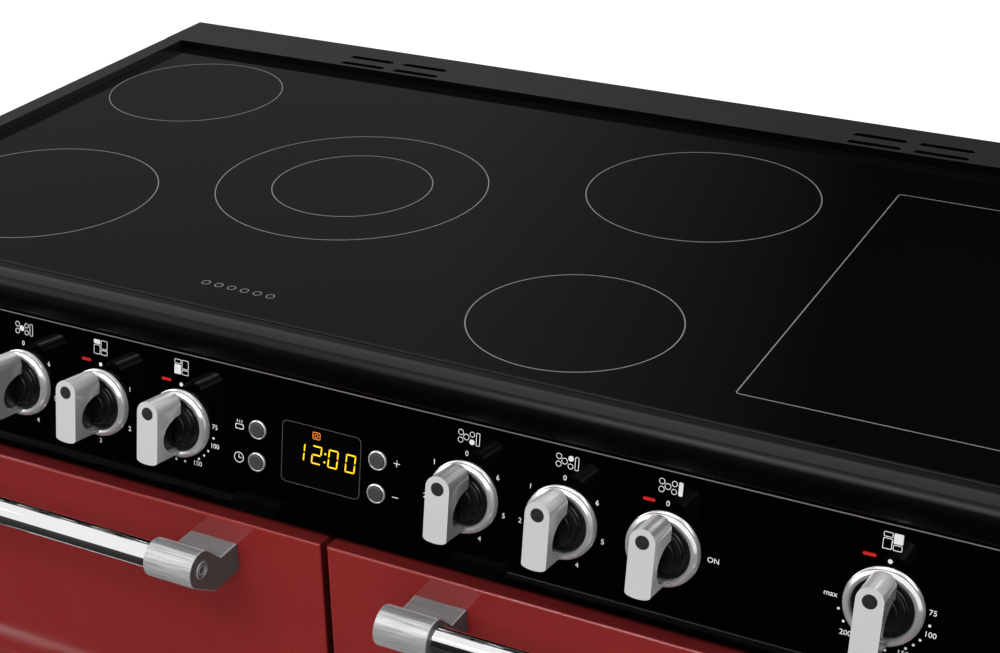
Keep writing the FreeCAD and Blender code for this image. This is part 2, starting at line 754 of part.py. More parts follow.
def drawer_bay():
    """Sheet sleeve that the storage drawer slides into, with its front flange."""
    x_in = (column_x - cavity_half, column_x + cavity_half)
    x_out = (x_in[0] - d.sheet, x_in[1] + d.sheet)
    z0, z1 = bay_floor, bay_floor + bay_height
    flange = block("bay_flange", (1.2, flange_side), (case_front, case_front + d.sheet),
                   (flange_bottom, drawer_split))
    shell = block("bay_shell", x_out, (case_front, case_front + d.bay_depth),
                  (z0 - d.sheet, z1 + d.sheet))
    hollow = block("bay_hollow", x_in, (case_front - 5, case_front + d.bay_depth - d.sheet),
                   (z0, z1))
    return cut("bay_sleeve", fuse("bay_walls", [flange, shell]), [hollow])


def seal(name, side, floor, inside):
    """Soft seal round an oven's mouth."""
    centre = column_x * side
    margin = 3
    x = (centre - cavity_half - margin, centre + cavity_half + margin)
    z = (floor - margin, floor + inside + margin)
    y = (case_front - d.seal_thick + 0.3, case_front)
    outer = block(name, (x[0] - d.seal_width, x[1] + d.seal_width), y,
                  (z[0] - d.seal_width, z[1] + d.seal_width))
    inner = block(name + "_in", x, (y[0] - 1, y[1] + 1), z)
    return cut(name + "_ring", outer, [inner])


node("door_seals", group("door_seals", [
    seal("grill_seal", -1, grill_floor, grill_inside),
    seal("main_seal", -1, main_floor, main_inside),
    seal("tall_seal", 1, tall_floor, tall_inside)]))

FAN_OVENS = [
    # side, floor, inside height
    (-1, main_floor, main_inside),
    (1, tall_floor, tall_inside),
]


shelf_depth = d.cavity_depth - d.baffle_depth - 24


def wire_shelf(name, side, level_z):
    """Wire shelf: a frame of rods with wires from front to back on top of it."""
    centre = column_x * side
    reach = cavity_half - d.shelf_gap - d.shelf_rod
    y0 = case_front + 18
    z = level_z + d.shelf_rod
    parts = []
    for x in (centre - reach, centre + reach):
        parts.append(rod(name + "_side", d.shelf_rod, shelf_depth, x, y0, z, "y"))
    for y in (y0 + 8, y0 + shelf_depth / 2, y0 + shelf_depth - 8):
        parts.append(rod(name + "_cross", d.shelf_rod * 0.8, reach * 2, centre - reach, y, z,
                         "x"))
    wires = []
    count = 8
    for i in range(1, count + 1):
        x = centre - reach + reach * 2 * i / (count + 1)
        wires.append(rod(name + "_wire", d.shelf_wire, shelf_depth - 6, x, y0 + 3,
                         z + d.shelf_rod * 0.8 + d.shelf_wire, "y"))
    return [fuse(name, parts)] + wires


node("oven_shelves", group(
    "oven_shelves",
    wire_shelf("main_shelf", -1, main_floor + main_inside * MAIN_LEVELS[1])
    + wire_shelf("tall_shelf", 1, tall_floor + tall_inside * TALL_LEVELS[1])))


def grill_pan():
    """Enamelled pan that slides on the grill's ribs."""
    reach = cavity_half - d.shelf_gap
    z = grill_floor + grill_inside * GRILL_LEVELS[0]
    y0 = case_front + 16
    x = (-column_x - reach, reach - column_x)
    lip = block("pan_lip", x, (y0, y0 + 320), (z, z + 2))
    body = block("pan_body", (x[0] + 14, x[1] - 14), (y0 + 10, y0 + 310), (z - 30, z + 2))
    hollow = block("pan_hollow", (x[0] + 16, x[1] - 16), (y0 + 12, y0 + 308), (z - 28, z + 3))
    return cut("grill_pan", fuse("pan_walls", [lip, body]), [hollow])


node("grill_pan", grill_pan())


def tube_section(centre, radius, level=0):
    """Corners of the eight-sided section of a sheathed element, flats up and down."""
    reach = radius / math.cos(math.radians(22.5))
    return [(centre + reach * math.cos(math.radians(45 * i + 22.5)),
             level + reach * math.sin(math.radians(45 * i + 22.5))) for i in range(8)]


def grill_element():
    """Serpentine sheathed element under the grill's roof, fed through the rear wall."""
    tube, pitch = 3.5, 50
    y0, y1 = case_front + 60, oven_back - 60
    z = grill_floor + grill_inside - 16
    first = -column_x - pitch * 2.5
    parts = []
    for i in range(6):
        ends = oven_back + 12 if i in (0, 5) else y1
        run = new_body("grill_run")
        pad(run, "XZ_Plane", -ends, ends - y0, [tube_section(first + pitch * i, tube, z)])
        parts.append(run)
    for i in range(5):
        front = i % 2 == 0
        turn = new_body("grill_bend")
        feature = turn.newObject("PartDesign::Revolution", "grill_bend_turn")
        feature.Profile = sketch(turn, "XZ_Plane", 0, [tube_section(pitch / 2, tube)])
        feature.ReferenceAxis = (feature.Profile[0], ["V_Axis"])
        feature.Angle = 180
        turn.Placement = FreeCAD.Placement(
            V(0, 0, 0), FreeCAD.Rotation(V(0, 0, 1), 180 if front else 0))
        place(turn, first + pitch * (i + 0.5), y0 if front else y1, z)
        parts.append(turn)
    return fuse("grill_element", parts)


def ring_element(side, floor, inside):
    """Ring element round an oven fan, with two legs through the rear wall."""
    x, z = column_x * side, floor + inside / 2
    mean = d.fan_radius + 14
    ring = turned("ring_element", [tube_section(mean, 3.5)])
    ring.Placement = FreeCAD.Placement(V(0, 0, 0), FreeCAD.Rotation(V(1, 0, 0), 90))
    y = oven_back - d.fan_back_gap - d.fan_depth / 2
    place(ring, x, y, z)
    legs = [rod("ring_leg", 3, oven_back + 12 - y, x + shift, y, z + d.fan_radius + 13, "y")
            for shift in (-12, 12)]
    return fuse("ring_with_legs", [ring] + legs)


def element_holes(name, tools):
    """Cuts the element legs' holes in a cavity's rear wall."""
    cavity_node = NODES.pop(name)
    cavity_node.Label = name + "_plain"
    node(name, cut(name + "_holed", cavity_node, tools))


legs_z = d.fan_radius + 13
element_holes("grill_cavity", [
    rod("hole", 3.8, 10, -column_x + shift, oven_back - 4, grill_floor + grill_inside - 16,
        "y") for shift in (-125, 125)])
for label, side, floor, inside in (("main_cavity", -1, main_floor, main_inside),
                                   ("tall_cavity", 1, tall_floor, tall_inside)):
    element_holes(label, [
        rod("hole", 3.3, 10, column_x * side + shift, oven_back - 4, floor + inside / 2 + legs_z,
            "y") for shift in (-12, 12)])
node("oven_elements", group("oven_elements", [grill_element()] + [
    ring_element(side, floor, inside) for side, floor, inside in FAN_OVENS]))


def fan_motor(side, floor, inside):
    """Fan motor behind an oven's rear wall, with the bush of its shaft."""
    x, z = column_x * side, floor + inside / 2
    y = oven_back + d.sheet
    plate = rod("motor_plate", 42, 2, x, y, z, "y")
    can = rod("motor_can", 30, 45, x, y, z, "y")
    bore = rod("motor_bore", 4.05, 50, x, y - 2, z, "y")
    return cut("fan_motor", fuse("motor_solid", [plate, can]), [bore])


node("fan_motors", group("fan_motors", [fan_motor(*oven) for oven in FAN_OVENS]))


def oven_fan(name, side, floor, inside):
    """Radial fan: shaft, hub, back disc and eight blades."""
    fan = new_body(name)
    disc = fan.newObject("PartDesign::Pad", name + "_disc")
    disc.Profile = sketch(fan, "XY_Plane", 0, [("circle", 0, 0, d.fan_radius)])
    disc.Length = 1.5
    hub = fan.newObject("PartDesign::Pad", name + "_hub")
    hub.Profile = sketch(fan, "XY_Plane", 0, [("circle", 0, 0, 11)])
    bind(hub, "Length", d.fan_depth - 4)
    blade = fan.newObject("PartDesign::Pad", name + "_blade")
    blade.Profile = sketch(fan, "XY_Plane", 0, [[
        (d.fan_radius - 30, -6), (d.fan_radius - 2, 4), (d.fan_radius - 2.6, 5.6),
        (d.fan_radius - 30.6, -4.4)]])
    bind(blade, "Length", d.fan_depth)
    pattern = fan.newObject("PartDesign::PolarPattern", name + "_blades")
    pattern.Originals = [blade]
    pattern.Axis = (blade.Profile[0], ["N_Axis"])
    pattern.Angle = 360
    pattern.Occurrences = 8
    fan.Tip = pattern
    shaft = fan.newObject("PartDesign::Pad", name + "_shaft")
    shaft.Profile = sketch(fan, "XY_Plane", -(d.fan_back_gap + 30), [("circle", 0, 0, 4)])
    bind(shaft, "Length", d.fan_back_gap + 31)
    fan.Tip = shaft
    fan.Placement = FreeCAD.Placement(V(0, 0, 0), FreeCAD.Rotation(V(1, 0, 0), 90))
    return place(fan, column_x * side, oven_back - d.fan_back_gap, floor + inside / 2)


node("main_oven_fan", oven_fan("main_oven_fan", *FAN_OVENS[0]))
node("tall_oven_fan", oven_fan("tall_oven_fan", *FAN_OVENS[1]))


def fan_baffle(name, side, floor, inside):
    """Pressed cover in front of the fan: round inlet grille, open round its rim."""
    centre = column_x * side
    z = floor + inside / 2
    y0 = oven_back - d.baffle_depth
    plate = new_body(name)
    x0, x1 = centre - cavity_half + 30, centre + cavity_half - 30
    z0, z1 = floor + 22, floor + inside - 22
    pad(plate, "XZ_Plane", -(y0 + d.sheet), d.sheet, [rounded(x0, x1, z0, z1, 12)])
    slots = [obround(centre, z + 18 * row, 96 - 14 * abs(row), 8) for row in range(-2, 3)]
    plate.Tip = body_cut(plate, slots, y0 - 1, d.sheet + 2)
    posts = [block(name + "_post", (x, x + 10), (y0 + d.sheet, oven_back), (post_z, post_z + 10))
             for x in (x0 + 8, x1 - 18) for post_z in (z0 + 8, z1 - 18)]
    return fuse(name + "_cover", [plate] + posts)


node("fan_baffles", group("fan_baffles", [
    fan_baffle("main_baffle", *FAN_OVENS[0]), fan_baffle("tall_baffle", *FAN_OVENS[1])]))


def oven_lamp(side, floor, inside):
    """Lamp lens on an oven's rear wall, beside the fan cover's upper corner."""
    lamp = turned("oven_lamp", [[(0, 0), (13, 0), (13, 5), (9, 12), (0, 15)]])
    lamp.Placement = FreeCAD.Placement(V(0, 0, 0), FreeCAD.Rotation(V(1, 0, 0), 90))
    return place(lamp, column_x * side - cavity_half + 14.5, oven_back, floor + inside - 20)


node("oven_lamps", group("oven_lamps", [oven_lamp(*oven) for oven in FAN_OVENS]))


# ---------------------------------------------------------------- doors

def front_box(side, z0, z1):
    """The (low, high) pairs of a front's X and Z."""
    inner, outer = d.door_gap / 2, half - d.door_edge
    x = (inner, outer) if side > 0 else (-outer, -inner)
    return x, (z0, z1)


FRONTS = {
    "grill": front_box(-1, grill_bottom, front_top),
    "main": front_box(-1, d.front_bottom, main_top),
    "tall": front_box(1, tall_bottom, front_top),
    "drawer": front_box(1, d.front_bottom, drawer_top),
}


def window_box(x, z, grow):
    return (x[0] + d.window_side - grow, x[1] - d.window_side + grow,
            z[0] + d.window_bottom - grow, z[1] - d.window_top + grow)


def edges_at(shape, test):
    return ["Edge%d" % (i + 1) for i, edge in enumerate(shape.Edges) if test(edge)]


def door_skin(name, x, z, window, hinge):
    """Enamelled pressing: a shallow tray with rounded front edges, slotted for its hinges."""
    body = new_body(name)
    block_pad = pad(body, "XZ_Plane", -(door_face + d.skin_depth), d.skin_depth,
                    [rectangle(x[0], x[1], z[0], z[1])])
    doc.recompute()
    face = num(door_face)

    def on_front(edge):
        box = edge.BoundBox
        return abs(box.YMin - face) < 0.01 and abs(box.YMax - face) < 0.01

    fillet = body.newObject("PartDesign::Fillet", name + "_round")
    fillet.Base = (block_pad, edges_at(block_pad.Shape, on_front))
    bind(fillet, "Radius", d.skin_round)
    body.Tip = fillet
    wall = d.sheet
    hollow = body_cut(body, [rectangle(x[0] + wall, x[1] - wall, z[0] + wall, z[1] - wall)],
                      door_face + wall, d.skin_depth)
    body.Tip = hollow
    if window:
        x0, x1, z0, z1 = window_box(x, z, 0)
        body.Tip = body_cut(body, [rounded(x0, x1, z0, z1, d.window_round)],
                            door_face - 1, wall + 2)
    low, high = door_face + d.hinge_in - 7, door_face + d.skin_depth + 1
    clear = d.hinge_plate + 5.5
    if hinge == "bottom":
        slots = [rectangle(x[0] + 3, x[0] + clear, low, high),
                 rectangle(x[1] - clear, x[1] - 3, low, high)]
        body.Tip = pocket(body, "XY_Plane", z[0] + wall + 1, wall + 3, slots)
    if hinge == "side":
        slots = [rectangle(low, high, z[0] + 3, z[0] + clear),
                 rectangle(low, high, z[1] - clear, z[1] - 3)]
        body.Tip = pocket(body, "YZ_Plane", x[1] + 1, wall + 3, slots)
    return body


def door_pan(name, x, z, window, hinge):
    """Inner pan of a front, with the hinge bushes of a door.

    The pan leaves room for the hinge plates on the two sides that they stand on.
    """
    in_x, in_z = (4, d.pan_inset) if hinge == "side" else (d.pan_inset, 4)
    px, pz = (x[0] + in_x, x[1] - in_x), (z[0] + in_z, z[1] - in_z)
    rear = door_face + d.door_thick
    outer = block(name + "_outer", px, (door_face + d.sheet, rear), pz)
    inner = block(name + "_inner", (px[0] + d.sheet, px[1] - d.sheet),
                  (door_face, rear - d.sheet), (pz[0] + d.sheet, pz[1] - d.sheet))
    tools = [inner]
    if window:
        x0, x1, z0, z1 = window_box(x, z, 6)
        tools.append(block(name + "_window", (x0, x1), (rear - 5, rear + 1), (z0, z1)))
    if hinge is None:
        return cut(name, outer, tools)
    walls = cut(name + "_walls", outer, tools)
    bush, bore, axis_y = d.hinge_pin + 3, d.hinge_pin + d.hinge_gap, door_face + d.hinge_in
    bushes, bores = [], []
    if hinge == "bottom":
        axis_z = z[0] + d.hinge_up
        for start in (px[0] + 0.5, px[1] - 8.5):
            bushes.append(rod(name + "_bush", bush, 8, start, axis_y, axis_z, "x"))
            bores.append(rod(name + "_bore", bore, 10, start - 1, axis_y, axis_z, "x"))
    else:
        axis_x = x[1] - d.hinge_up
        for start in (pz[0] + 0.5, pz[1] - 8.5):
            bushes.append(rod(name + "_bush", bush, 8, axis_x, axis_y, start))
            bores.append(rod(name + "_bore", bore, 10, axis_x, axis_y, start - 1))
    return cut(name, fuse(name + "_solid", [walls] + bushes), bores)


def door_glass(name, x, z):
    """Outer pane behind the skin's window and inner pane in front of the pan's opening."""
    x0, x1, z0, z1 = window_box(x, z, 14)
    front = block(name + "_outer", (x0, x1), (door_face + d.sheet, door_face + d.sheet + d.pane),
                  (z0, z1))
    rear = door_face + d.door_thick - d.sheet
    inner = block(name + "_inner", (x0, x1), (rear - d.pane, rear), (z0, z1))
    return group(name, [front, inner])


HINGES = {"grill": "bottom", "main": "bottom", "tall": "side", "drawer": None}


def hinge_plates():
    """Hinge plates on the casing, each with the pin that a door's bush turns on."""
    parts = []
    axis_y = door_face + d.hinge_in
    thick, pin_length = d.hinge_plate, d.pan_inset + 3.5
    for key, hinge in HINGES.items():
        if hinge is None:
            continue
        x, z = FRONTS[key]
        for side in (1, -1):
            plate = new_body("hinge_plate")
            if hinge == "bottom":
                edge = x[0] if side > 0 else x[1]
                axis = z[0] + d.hinge_up
            else:
                edge = z[0] if side > 0 else z[1]
                axis = x[1] - d.hinge_up
            low = edge + 4 if side > 0 else edge - 4 - thick
            pin_low = edge + 4 if side > 0 else edge - 4 - pin_length
            if hinge == "bottom":
                pad(plate, "YZ_Plane", low, thick, [[
                    (axis_y, axis - 6), (case_front, axis - 6), (case_front, axis + 6),
                    (axis_y, axis + 6, axis_y, axis, 6, 1)]])
                pin = rod("hinge_pin", d.hinge_pin, pin_length, pin_low, axis_y, axis, "x")
            else:
                pad(plate, "XY_Plane", low, thick, [[
                    (axis + 6, axis_y), (axis + 6, case_front), (axis - 6, case_front),
                    (axis - 6, axis_y, axis, axis_y, 6, 1)]])
                pin = rod("hinge_pin", d.hinge_pin, pin_length, axis, axis_y, pin_low)
            parts.append(fuse("hinge", [plate, pin]))
    return group("hinge_plates", parts)


def handle(name, x, z_top):
    """Bar between two brackets; each bracket's arm stands on the door's face."""
    axis_z = z_top - d.handle_drop
    axis_y = door_face - d.handle_axis
    parts = []
    reach = d.sleeve_radius * cosine(45)
    starts = (x[0] + d.bracket_side, x[1] - d.bracket_side - d.bracket_width)
    blind = 4
    for start in starts:
        bracket = new_body(name + "_bracket")
        notch_y = axis_y + reach + (d.arm_top + reach)
        pad(bracket, "YZ_Plane", start, d.bracket_width, [[
            (door_face, axis_z - d.arm_bottom), (door_face, axis_z - d.arm_top),
            (notch_y, axis_z - d.arm_top),
            (axis_y + reach, axis_z + reach, axis_y, axis_z, d.sleeve_radius, 1),
            (axis_y - reach, axis_z - reach), (door_face - d.arm_front, axis_z - d.arm_bottom)]])
        outer_end = start is starts[0]
        bore_start = start + blind if outer_end else start - 1
        bore = rod(name + "_bore", d.bar_radius, d.bracket_width - blind + 1, bore_start, axis_y,
                   axis_z, "x")
        parts.append(cut(name + "_end", bracket, [bore]))
        stud_start = start - 1 if outer_end else start + d.bracket_width
        parts.append(rod(name + "_stud", 6.5, 1, stud_start, axis_y, axis_z, "x"))
    bar_start = starts[0] + blind
    bar_end = starts[1] + d.bracket_width - blind
    parts.append(rod(name + "_bar", d.bar_radius, bar_end - bar_start, bar_start, axis_y, axis_z,
                     "x"))
    return group(name, parts)


for key in ("grill", "main", "tall", "drawer"):
    x, z = FRONTS[key]
    glazed = key in ("main", "tall")
    hinge = HINGES[key]
    stem = "drawer" if key == "drawer" else key + "_door"
    node(stem + "_skin", door_skin(stem + "_skin", x, z, glazed, hinge))
    pan = door_pan(stem + "_pan", x, z, glazed, hinge)
    if hinge:
        node(stem + "_pan", pan)
    if glazed:
        node(stem + "_glass", door_glass(stem + "_glass", x, z))
    node(stem + "_handle", handle(stem + "_handle", x, z[1]))
node("hinge_plates", hinge_plates())


# ---------------------------------------------------------------- storage drawer

bay_in = (column_x - cavity_half, column_x + cavity_half)
runner_z = drawer_floor + 60


def drawer_box(pan):
    """Open sheet box with a slide bar on each side, welded to the pan behind the front."""
    x = (bay_in[0] + 15, bay_in[1] - 15)
    y0 = door_face + d.door_thick
    z0 = drawer_floor
    outer = block("box_outer", x, (y0, y0 + d.drawer_depth), (z0, z0 + drawer_inside))
    inner = block("box_inner", (x[0] + d.sheet, x[1] - d.sheet),
                  (y0 + d.sheet, y0 + d.drawer_depth - d.sheet),
                  (z0 + d.sheet, z0 + drawer_inside + 5))
    box = cut("box_walls", outer, [inner])
    slide_high = d.runner_height / 2 - d.sheet - d.runner_gap
    bars = []
    for low, high in ((bay_in[0] + 3, x[0] + 0.5), (x[1] - 0.5, bay_in[1] - 3)):
        bars.append(block("slide_bar", (low, high), (y0 + 12, y0 + d.drawer_depth - 12),
                          (runner_z - slide_high, runner_z + slide_high)))
    return fuse("drawer_box", [box, pan] + bars)


def drawer_runners():
    """Channel on each wall of the bay; the drawer's slide bars run in them."""
    parts = []
    half_high = d.runner_height / 2
    y = (case_front + 3, case_front + d.bay_depth - 12)
    for side in (1, -1):
        wall = bay_in[0] if side > 0 else bay_in[1]
        x = (wall, wall + d.runner_depth) if side > 0 else (wall - d.runner_depth, wall)
        groove = (wall + d.sheet, wall + d.runner_depth + 1)
        if side < 0:
            groove = (wall - d.runner_depth - 1, wall - d.sheet)
        outer = block("runner_outer", x, y, (runner_z - half_high, runner_z + half_high))
        inner = block("runner_inner", groove, (y[0] - 1, y[1] + 1),
                      (runner_z - half_high + d.sheet, runner_z + half_high - d.sheet))
        parts.append(cut("runner", outer, [inner]))
    return parts


node("drawer_bay", group("drawer_bay", [drawer_bay()] + drawer_runners()))
node("drawer_box", drawer_box(pan))


# ---------------------------------------------------------------- control fascia
# These pieces are drawn in the fascia's own frame: U to the right, V up the slope from its
# top edge (so V is negative), W out of its face. TILTED turns that frame into the cooker's.

TILTED = FreeCAD.Rotation(V(1, 0, 0), 90 - num(d.fascia_tilt))


def on_fascia(obj, u=0, v=0, w=0):
    """Puts an object that is drawn flat onto the sloping fascia."""
    obj.Placement = FreeCAD.Placement(V(0, 0, 0), TILTED)
    bind(obj, "Placement.Rotation.Angle", 90 - d.fascia_tilt)
    lean = d.fascia_tilt
    return place(obj, u, fascia_y + v * sine(lean) - w * cosine(lean),
                 fascia_z + v * cosine(lean) + w * sine(lean))


def sized(value):
    return value if isinstance(value, Size) else Size(value, txt(value))


KNOBS = [
    # node, place on the knob line
    ("knob_rear_left", d.knob_first_left - d.knob_pitch * 4),
    ("knob_front_left", d.knob_first_left - d.knob_pitch * 3),
    ("knob_centre", d.knob_first_left - d.knob_pitch * 2),
    ("knob_grill", d.knob_first_left - d.knob_pitch),
    ("knob_main_oven", d.knob_first_left),
    ("knob_front_right", d.knob_first_right),
    ("knob_rear_right", d.knob_first_right + d.knob_pitch),
    ("knob_warming", d.knob_first_right + d.knob_pitch * 2),
    ("knob_tall_oven", d.knob_first_right + d.knob_pitch * 4),
]
LAMP_KNOBS = ("knob_grill", "knob_main_oven", "knob_warming", "knob_tall_oven")
BUTTONS = [
    # node, u, v
    ("button_mode", -62.6, -43.5),
    ("button_timer", -62.6, -67.8),
    ("button_plus", 34.6, -43.5),
    ("button_minus", 34.6, -67.8),
]
knob_v = -d.knob_line
display_right = d.display_left + d.display_width
display_bottom = -(d.display_top + d.display_height)


def lamp_slot(u, grow):
    """The slot of an indicator lamp, up and to the left of a knob."""
    return obround(u - 12.9, knob_v + 30.5, 9 + 2 * grow, sized(2.6 + 2 * grow))


def fascia_panel():
    """Black glass strip with its holes."""
    panel = new_body("fascia_glass")
    edge = half - 1
    holes = [("circle", u, knob_v, d.spindle_radius + 3) for _, u in KNOBS]
    holes += [("circle", sized(u), sized(v), d.button_radius + d.button_gap)
              for _, u, v in BUTTONS]
    holes += [lamp_slot(u, 0.1) for name, u in KNOBS if name in LAMP_KNOBS]
    holes.append(rounded(d.display_left, display_right, display_bottom, -d.display_top, 4))
    pad(panel, "XY_Plane", -d.fascia_thick, d.fascia_thick,
        [rectangle(-edge, edge, -d.fascia_length, sized(0))] + holes)
    return on_fascia(panel)


def fascia_carrier():
    """Folded carrier behind the fascia, with end plates that stand on the side panels."""
    edge = half - 4
    web = new_body("carrier_web")
    w0 = -(d.fascia_thick + d.sheet)
    length = d.fascia_length - 1
    wide = d.spindle_radius + 6
    holes = [rectangle(u - wide, u + wide, knob_v - wide, knob_v + wide) for _, u in KNOBS]
    wide = d.button_radius + 1.5
    holes += [rectangle(u - wide, u + wide, v - wide, v + wide) for _, u, v in BUTTONS]
    holes.append(rounded(d.display_left + 2, display_right - 2, display_bottom + 2,
                         -d.display_top - 2, 3))
    pad(web, "XY_Plane", w0, d.sheet, [rectangle(-edge, edge, -length, sized(-1))] + holes)
    for low, high in ((-length, d.sheet - length), (sized(-1) - d.sheet, sized(-1))):
        flange = web.newObject("PartDesign::Pad", "carrier_flange")
        flange.Profile = sketch(web, "XY_Plane", w0 - d.carrier_depth,
                                [rectangle(-edge, edge, low, high)])
        bind(flange, "Length", d.carrier_depth + 0.5)
        web.Tip = flange
    on_fascia(web)
    lean = d.fascia_tilt
    thick = d.fascia_thick

    def point(v, w):
        return (fascia_y + v * sine(lean) - w * cosine(lean),
                fascia_z + v * cosine(lean) + w * sine(lean))

    top, low = point(sized(-1), -thick), point(-length, -thick)
    seat = case_front + d.sheet
    plates = []
    for start in (-edge, edge - d.sheet):
        plate = new_body("carrier_end")
        pad(plate, "YZ_Plane", start, d.sheet, [[
            top, low, (seat, low[1]), (seat, top[1])]])
        plates.append(plate)
    return fuse("fascia_carrier", [web] + plates)


def knob_bezels():
    """Bright rings: one round each knob and one round each clock button."""
    rings = []
    r, bore, high = d.bezel_radius, d.bezel_bore, d.bezel_height
    for _, u in KNOBS:
        ring = turned("bezel", [[
            (bore, sized(0)), (r, sized(0)), (r, high - 1.5), (r - 1.5, high),
            (bore, high)]])
        rings.append(on_fascia(ring, u, knob_v))
    for _, u, v in BUTTONS:
        inner = d.button_radius + d.button_gap
        rim = turned("button_rim", [[
            (inner, sized(0)), (inner + 1.2, sized(0)), (inner + 1.2, sized(1.5)),
            (inner, sized(1.5))]])
        rings.append(on_fascia(rim, sized(u), sized(v)))
    return group("knob_bezels", rings)


def knob(name, u):
    """A knob: black hub, fin and spindle in one, and the bright grip that bridges the fin."""
    hub_radius = d.bezel_bore - d.knob_gap
    grip_back = d.knob_reach - d.grip_depth
    top_centre = d.grip_top - d.grip_width / 2
    fin_half = d.grip_width / 2 - 1.2
    hub = turned(name + "_hub", [[
        (sized(0), sized(-30)), (d.spindle_radius, sized(-30)), (d.spindle_radius, sized(0.6)),
        (hub_radius, sized(0.6)), (hub_radius, sized(4.2)), (hub_radius - 4.7, sized(4.5)),
        (hub_radius - 6, sized(9)), (sized(0), sized(9))]])
    r = d.arch_radius
    fin = hub.newObject("PartDesign::Pad", name + "_fin")
    fin.Profile = sketch(hub, "YZ_Plane", -fin_half, [[
        (d.arch_lift - r, grip_back), (d.arch_lift - r + 4, sized(8.6)),
        (d.arch_lift + r - 4, sized(8.6)),
        (d.arch_lift + r, grip_back, d.arch_lift, grip_back, r, 1)]])
    bind(fin, "Length", fin_half * 2)
    hub.Tip = fin
    grip = new_body(name + "_grip")
    wide = d.grip_width / 2
    pad(grip, "XY_Plane", grip_back, d.grip_depth, [[
        (wide, -d.grip_foot), (wide, top_centre, sized(0), top_centre, wide, 1),
        (-wide, top_centre), (-wide, -d.grip_foot)]])
    # the arch, and the foot that draws in towards the fascia
    arch = grip.newObject("PartDesign::Pocket", name + "_arch")
    arch.Profile = sketch(grip, "YZ_Plane", wide + 1, [
        [(d.arch_lift - r, grip_back), (d.arch_lift - r, grip_back - 2),
         (d.arch_lift + r, grip_back - 2),
         (d.arch_lift + r, grip_back, d.arch_lift, grip_back, r, 1)]])
    bind(arch, "Length", wide * 2 + 2)
    grip.Tip = arch
    draft = grip.newObject("PartDesign::Pocket", name + "_draft")
    draft.Profile = sketch(grip, "YZ_Plane", wide + 1, [[
        (-d.grip_foot - 1, grip_back - 1), (3 - d.grip_foot, grip_back - 1),
        (-d.grip_foot, d.knob_reach), (-d.grip_foot - 1, d.knob_reach)]])
    bind(draft, "Length", wide * 2 + 2)
    grip.Tip = draft
    for part in (hub, grip):
        on_fascia(part, u, knob_v)
    return group(name, [hub, grip])


def knob_switches():
    """Energy regulators and thermostats behind the carrier, each bored for its spindle."""
    parts = []
    w1 = -(d.fascia_thick + d.sheet)
    for _, u in KNOBS:
        body = new_body("switch")
        pad(body, "XY_Plane", w1 - 32, 32, [
            rectangle(sized(-21), sized(21), sized(-19), sized(19)),
            ("circle", sized(0), sized(0), d.spindle_radius + d.spindle_gap)])
        parts.append(on_fascia(body, u, knob_v))
    return parts


def clock_module():
    """Clock housing behind the display and its buttons."""
    w1 = -(d.fascia_thick + d.sheet) - 3.5
    back_w = w1 - 28
    base = new_body("clock_case")
    pad(base, "XY_Plane", back_w, 28, [
        rectangle(sized(-72), sized(44), sized(-82), sized(-27))])
    face = base.newObject("PartDesign::Pad", "clock_face")
    face.Profile = sketch(base, "XY_Plane", w1, [
        rounded(d.display_left + 3, display_right - 3, display_bottom + 3, -d.display_top - 3, 3)])
    bind(face, "Length", d.sheet + 3.5 + d.fascia_thick - 2.5)
    base.Tip = face
    feet = base.newObject("PartDesign::Pad", "clock_feet")
    feet.Profile = sketch(base, "XY_Plane", w1 - 0.5, [
        rectangle(sized(-72), sized(-69.5), sized(-81), sized(-28)),
        rectangle(sized(41.5), sized(44), sized(-81), sized(-28))])
    feet.Length = 4
    base.Tip = feet
    return on_fascia(base)


def display_window():
    gap = 0.2
    lens = new_body("display_lens")
    pad(lens, "XY_Plane", sized(-2.5), 2.5, [rounded(
        d.display_left + gap, display_right - gap, display_bottom + gap,
        -d.display_top - gap, 4)])
    return on_fascia(lens)


def indicator_lenses():
    lenses = []
    for name, u in KNOBS:
        if name not in LAMP_KNOBS:
            continue
        lens = new_body("indicator")
        pad(lens, "XY_Plane", -d.fascia_thick, d.fascia_thick + 0.2, [lamp_slot(u, 0)])
        lenses.append(on_fascia(lens))
    return lenses


def clock_button(name, u, v):
    r = d.button_radius
    reach = d.button_reach
    button = turned(name, [[
        (sized(0), sized(-6.8)), (r - 1, sized(-6.8)), (r, sized(-6.3)), (r, reach - 0.8),
        (r - 0.8, reach), (sized(0), reach)]])
    return on_fascia(button, sized(u), sized(v))


node("fascia_panel", fascia_panel())
node("fascia_carrier", fascia_carrier())
node("knob_bezels", knob_bezels())
for name, u in KNOBS:
    node(name, knob(name, u))
node("switchgear", group("switchgear", knob_switches() + [clock_module()]))
node("fascia_lenses", group("fascia_lenses", indicator_lenses() + [display_window()]))
for name, u, v in BUTTONS:
    node(name, clock_button(name, u, v))


# ---------------------------------------------------------------- check and write

doc.recompute()
faults = [obj.Name for obj in doc.Objects if "Invalid" in obj.State or "Error" in obj.State]
for label, obj in NODES.items():
    if obj.Shape.isNull() or not obj.Shape.isValid() or not obj.Shape.Solids:
        faults.append(label)
if faults:
    raise RuntimeError("these objects failed: " + ", ".join(faults))
os.makedirs("parts", exist_ok=True)
for label, obj in NODES.items():
    obj.Shape.exportStep("parts/%s.step" % label)
print(len(NODES), "nodes,", sum(len(obj.Shape.Solids) for obj in NODES.values()), "solids")
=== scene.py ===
"""Looks of the range cooker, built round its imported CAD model.

Lengths in this file are in millimetres and become metres when a mesh is finished. The frame is
the CAD model's: X to the right, Y to the rear, Z up, with the origin on the floor.
"""
import math

import bmesh
import bpy
from mathutils import Matrix, Vector


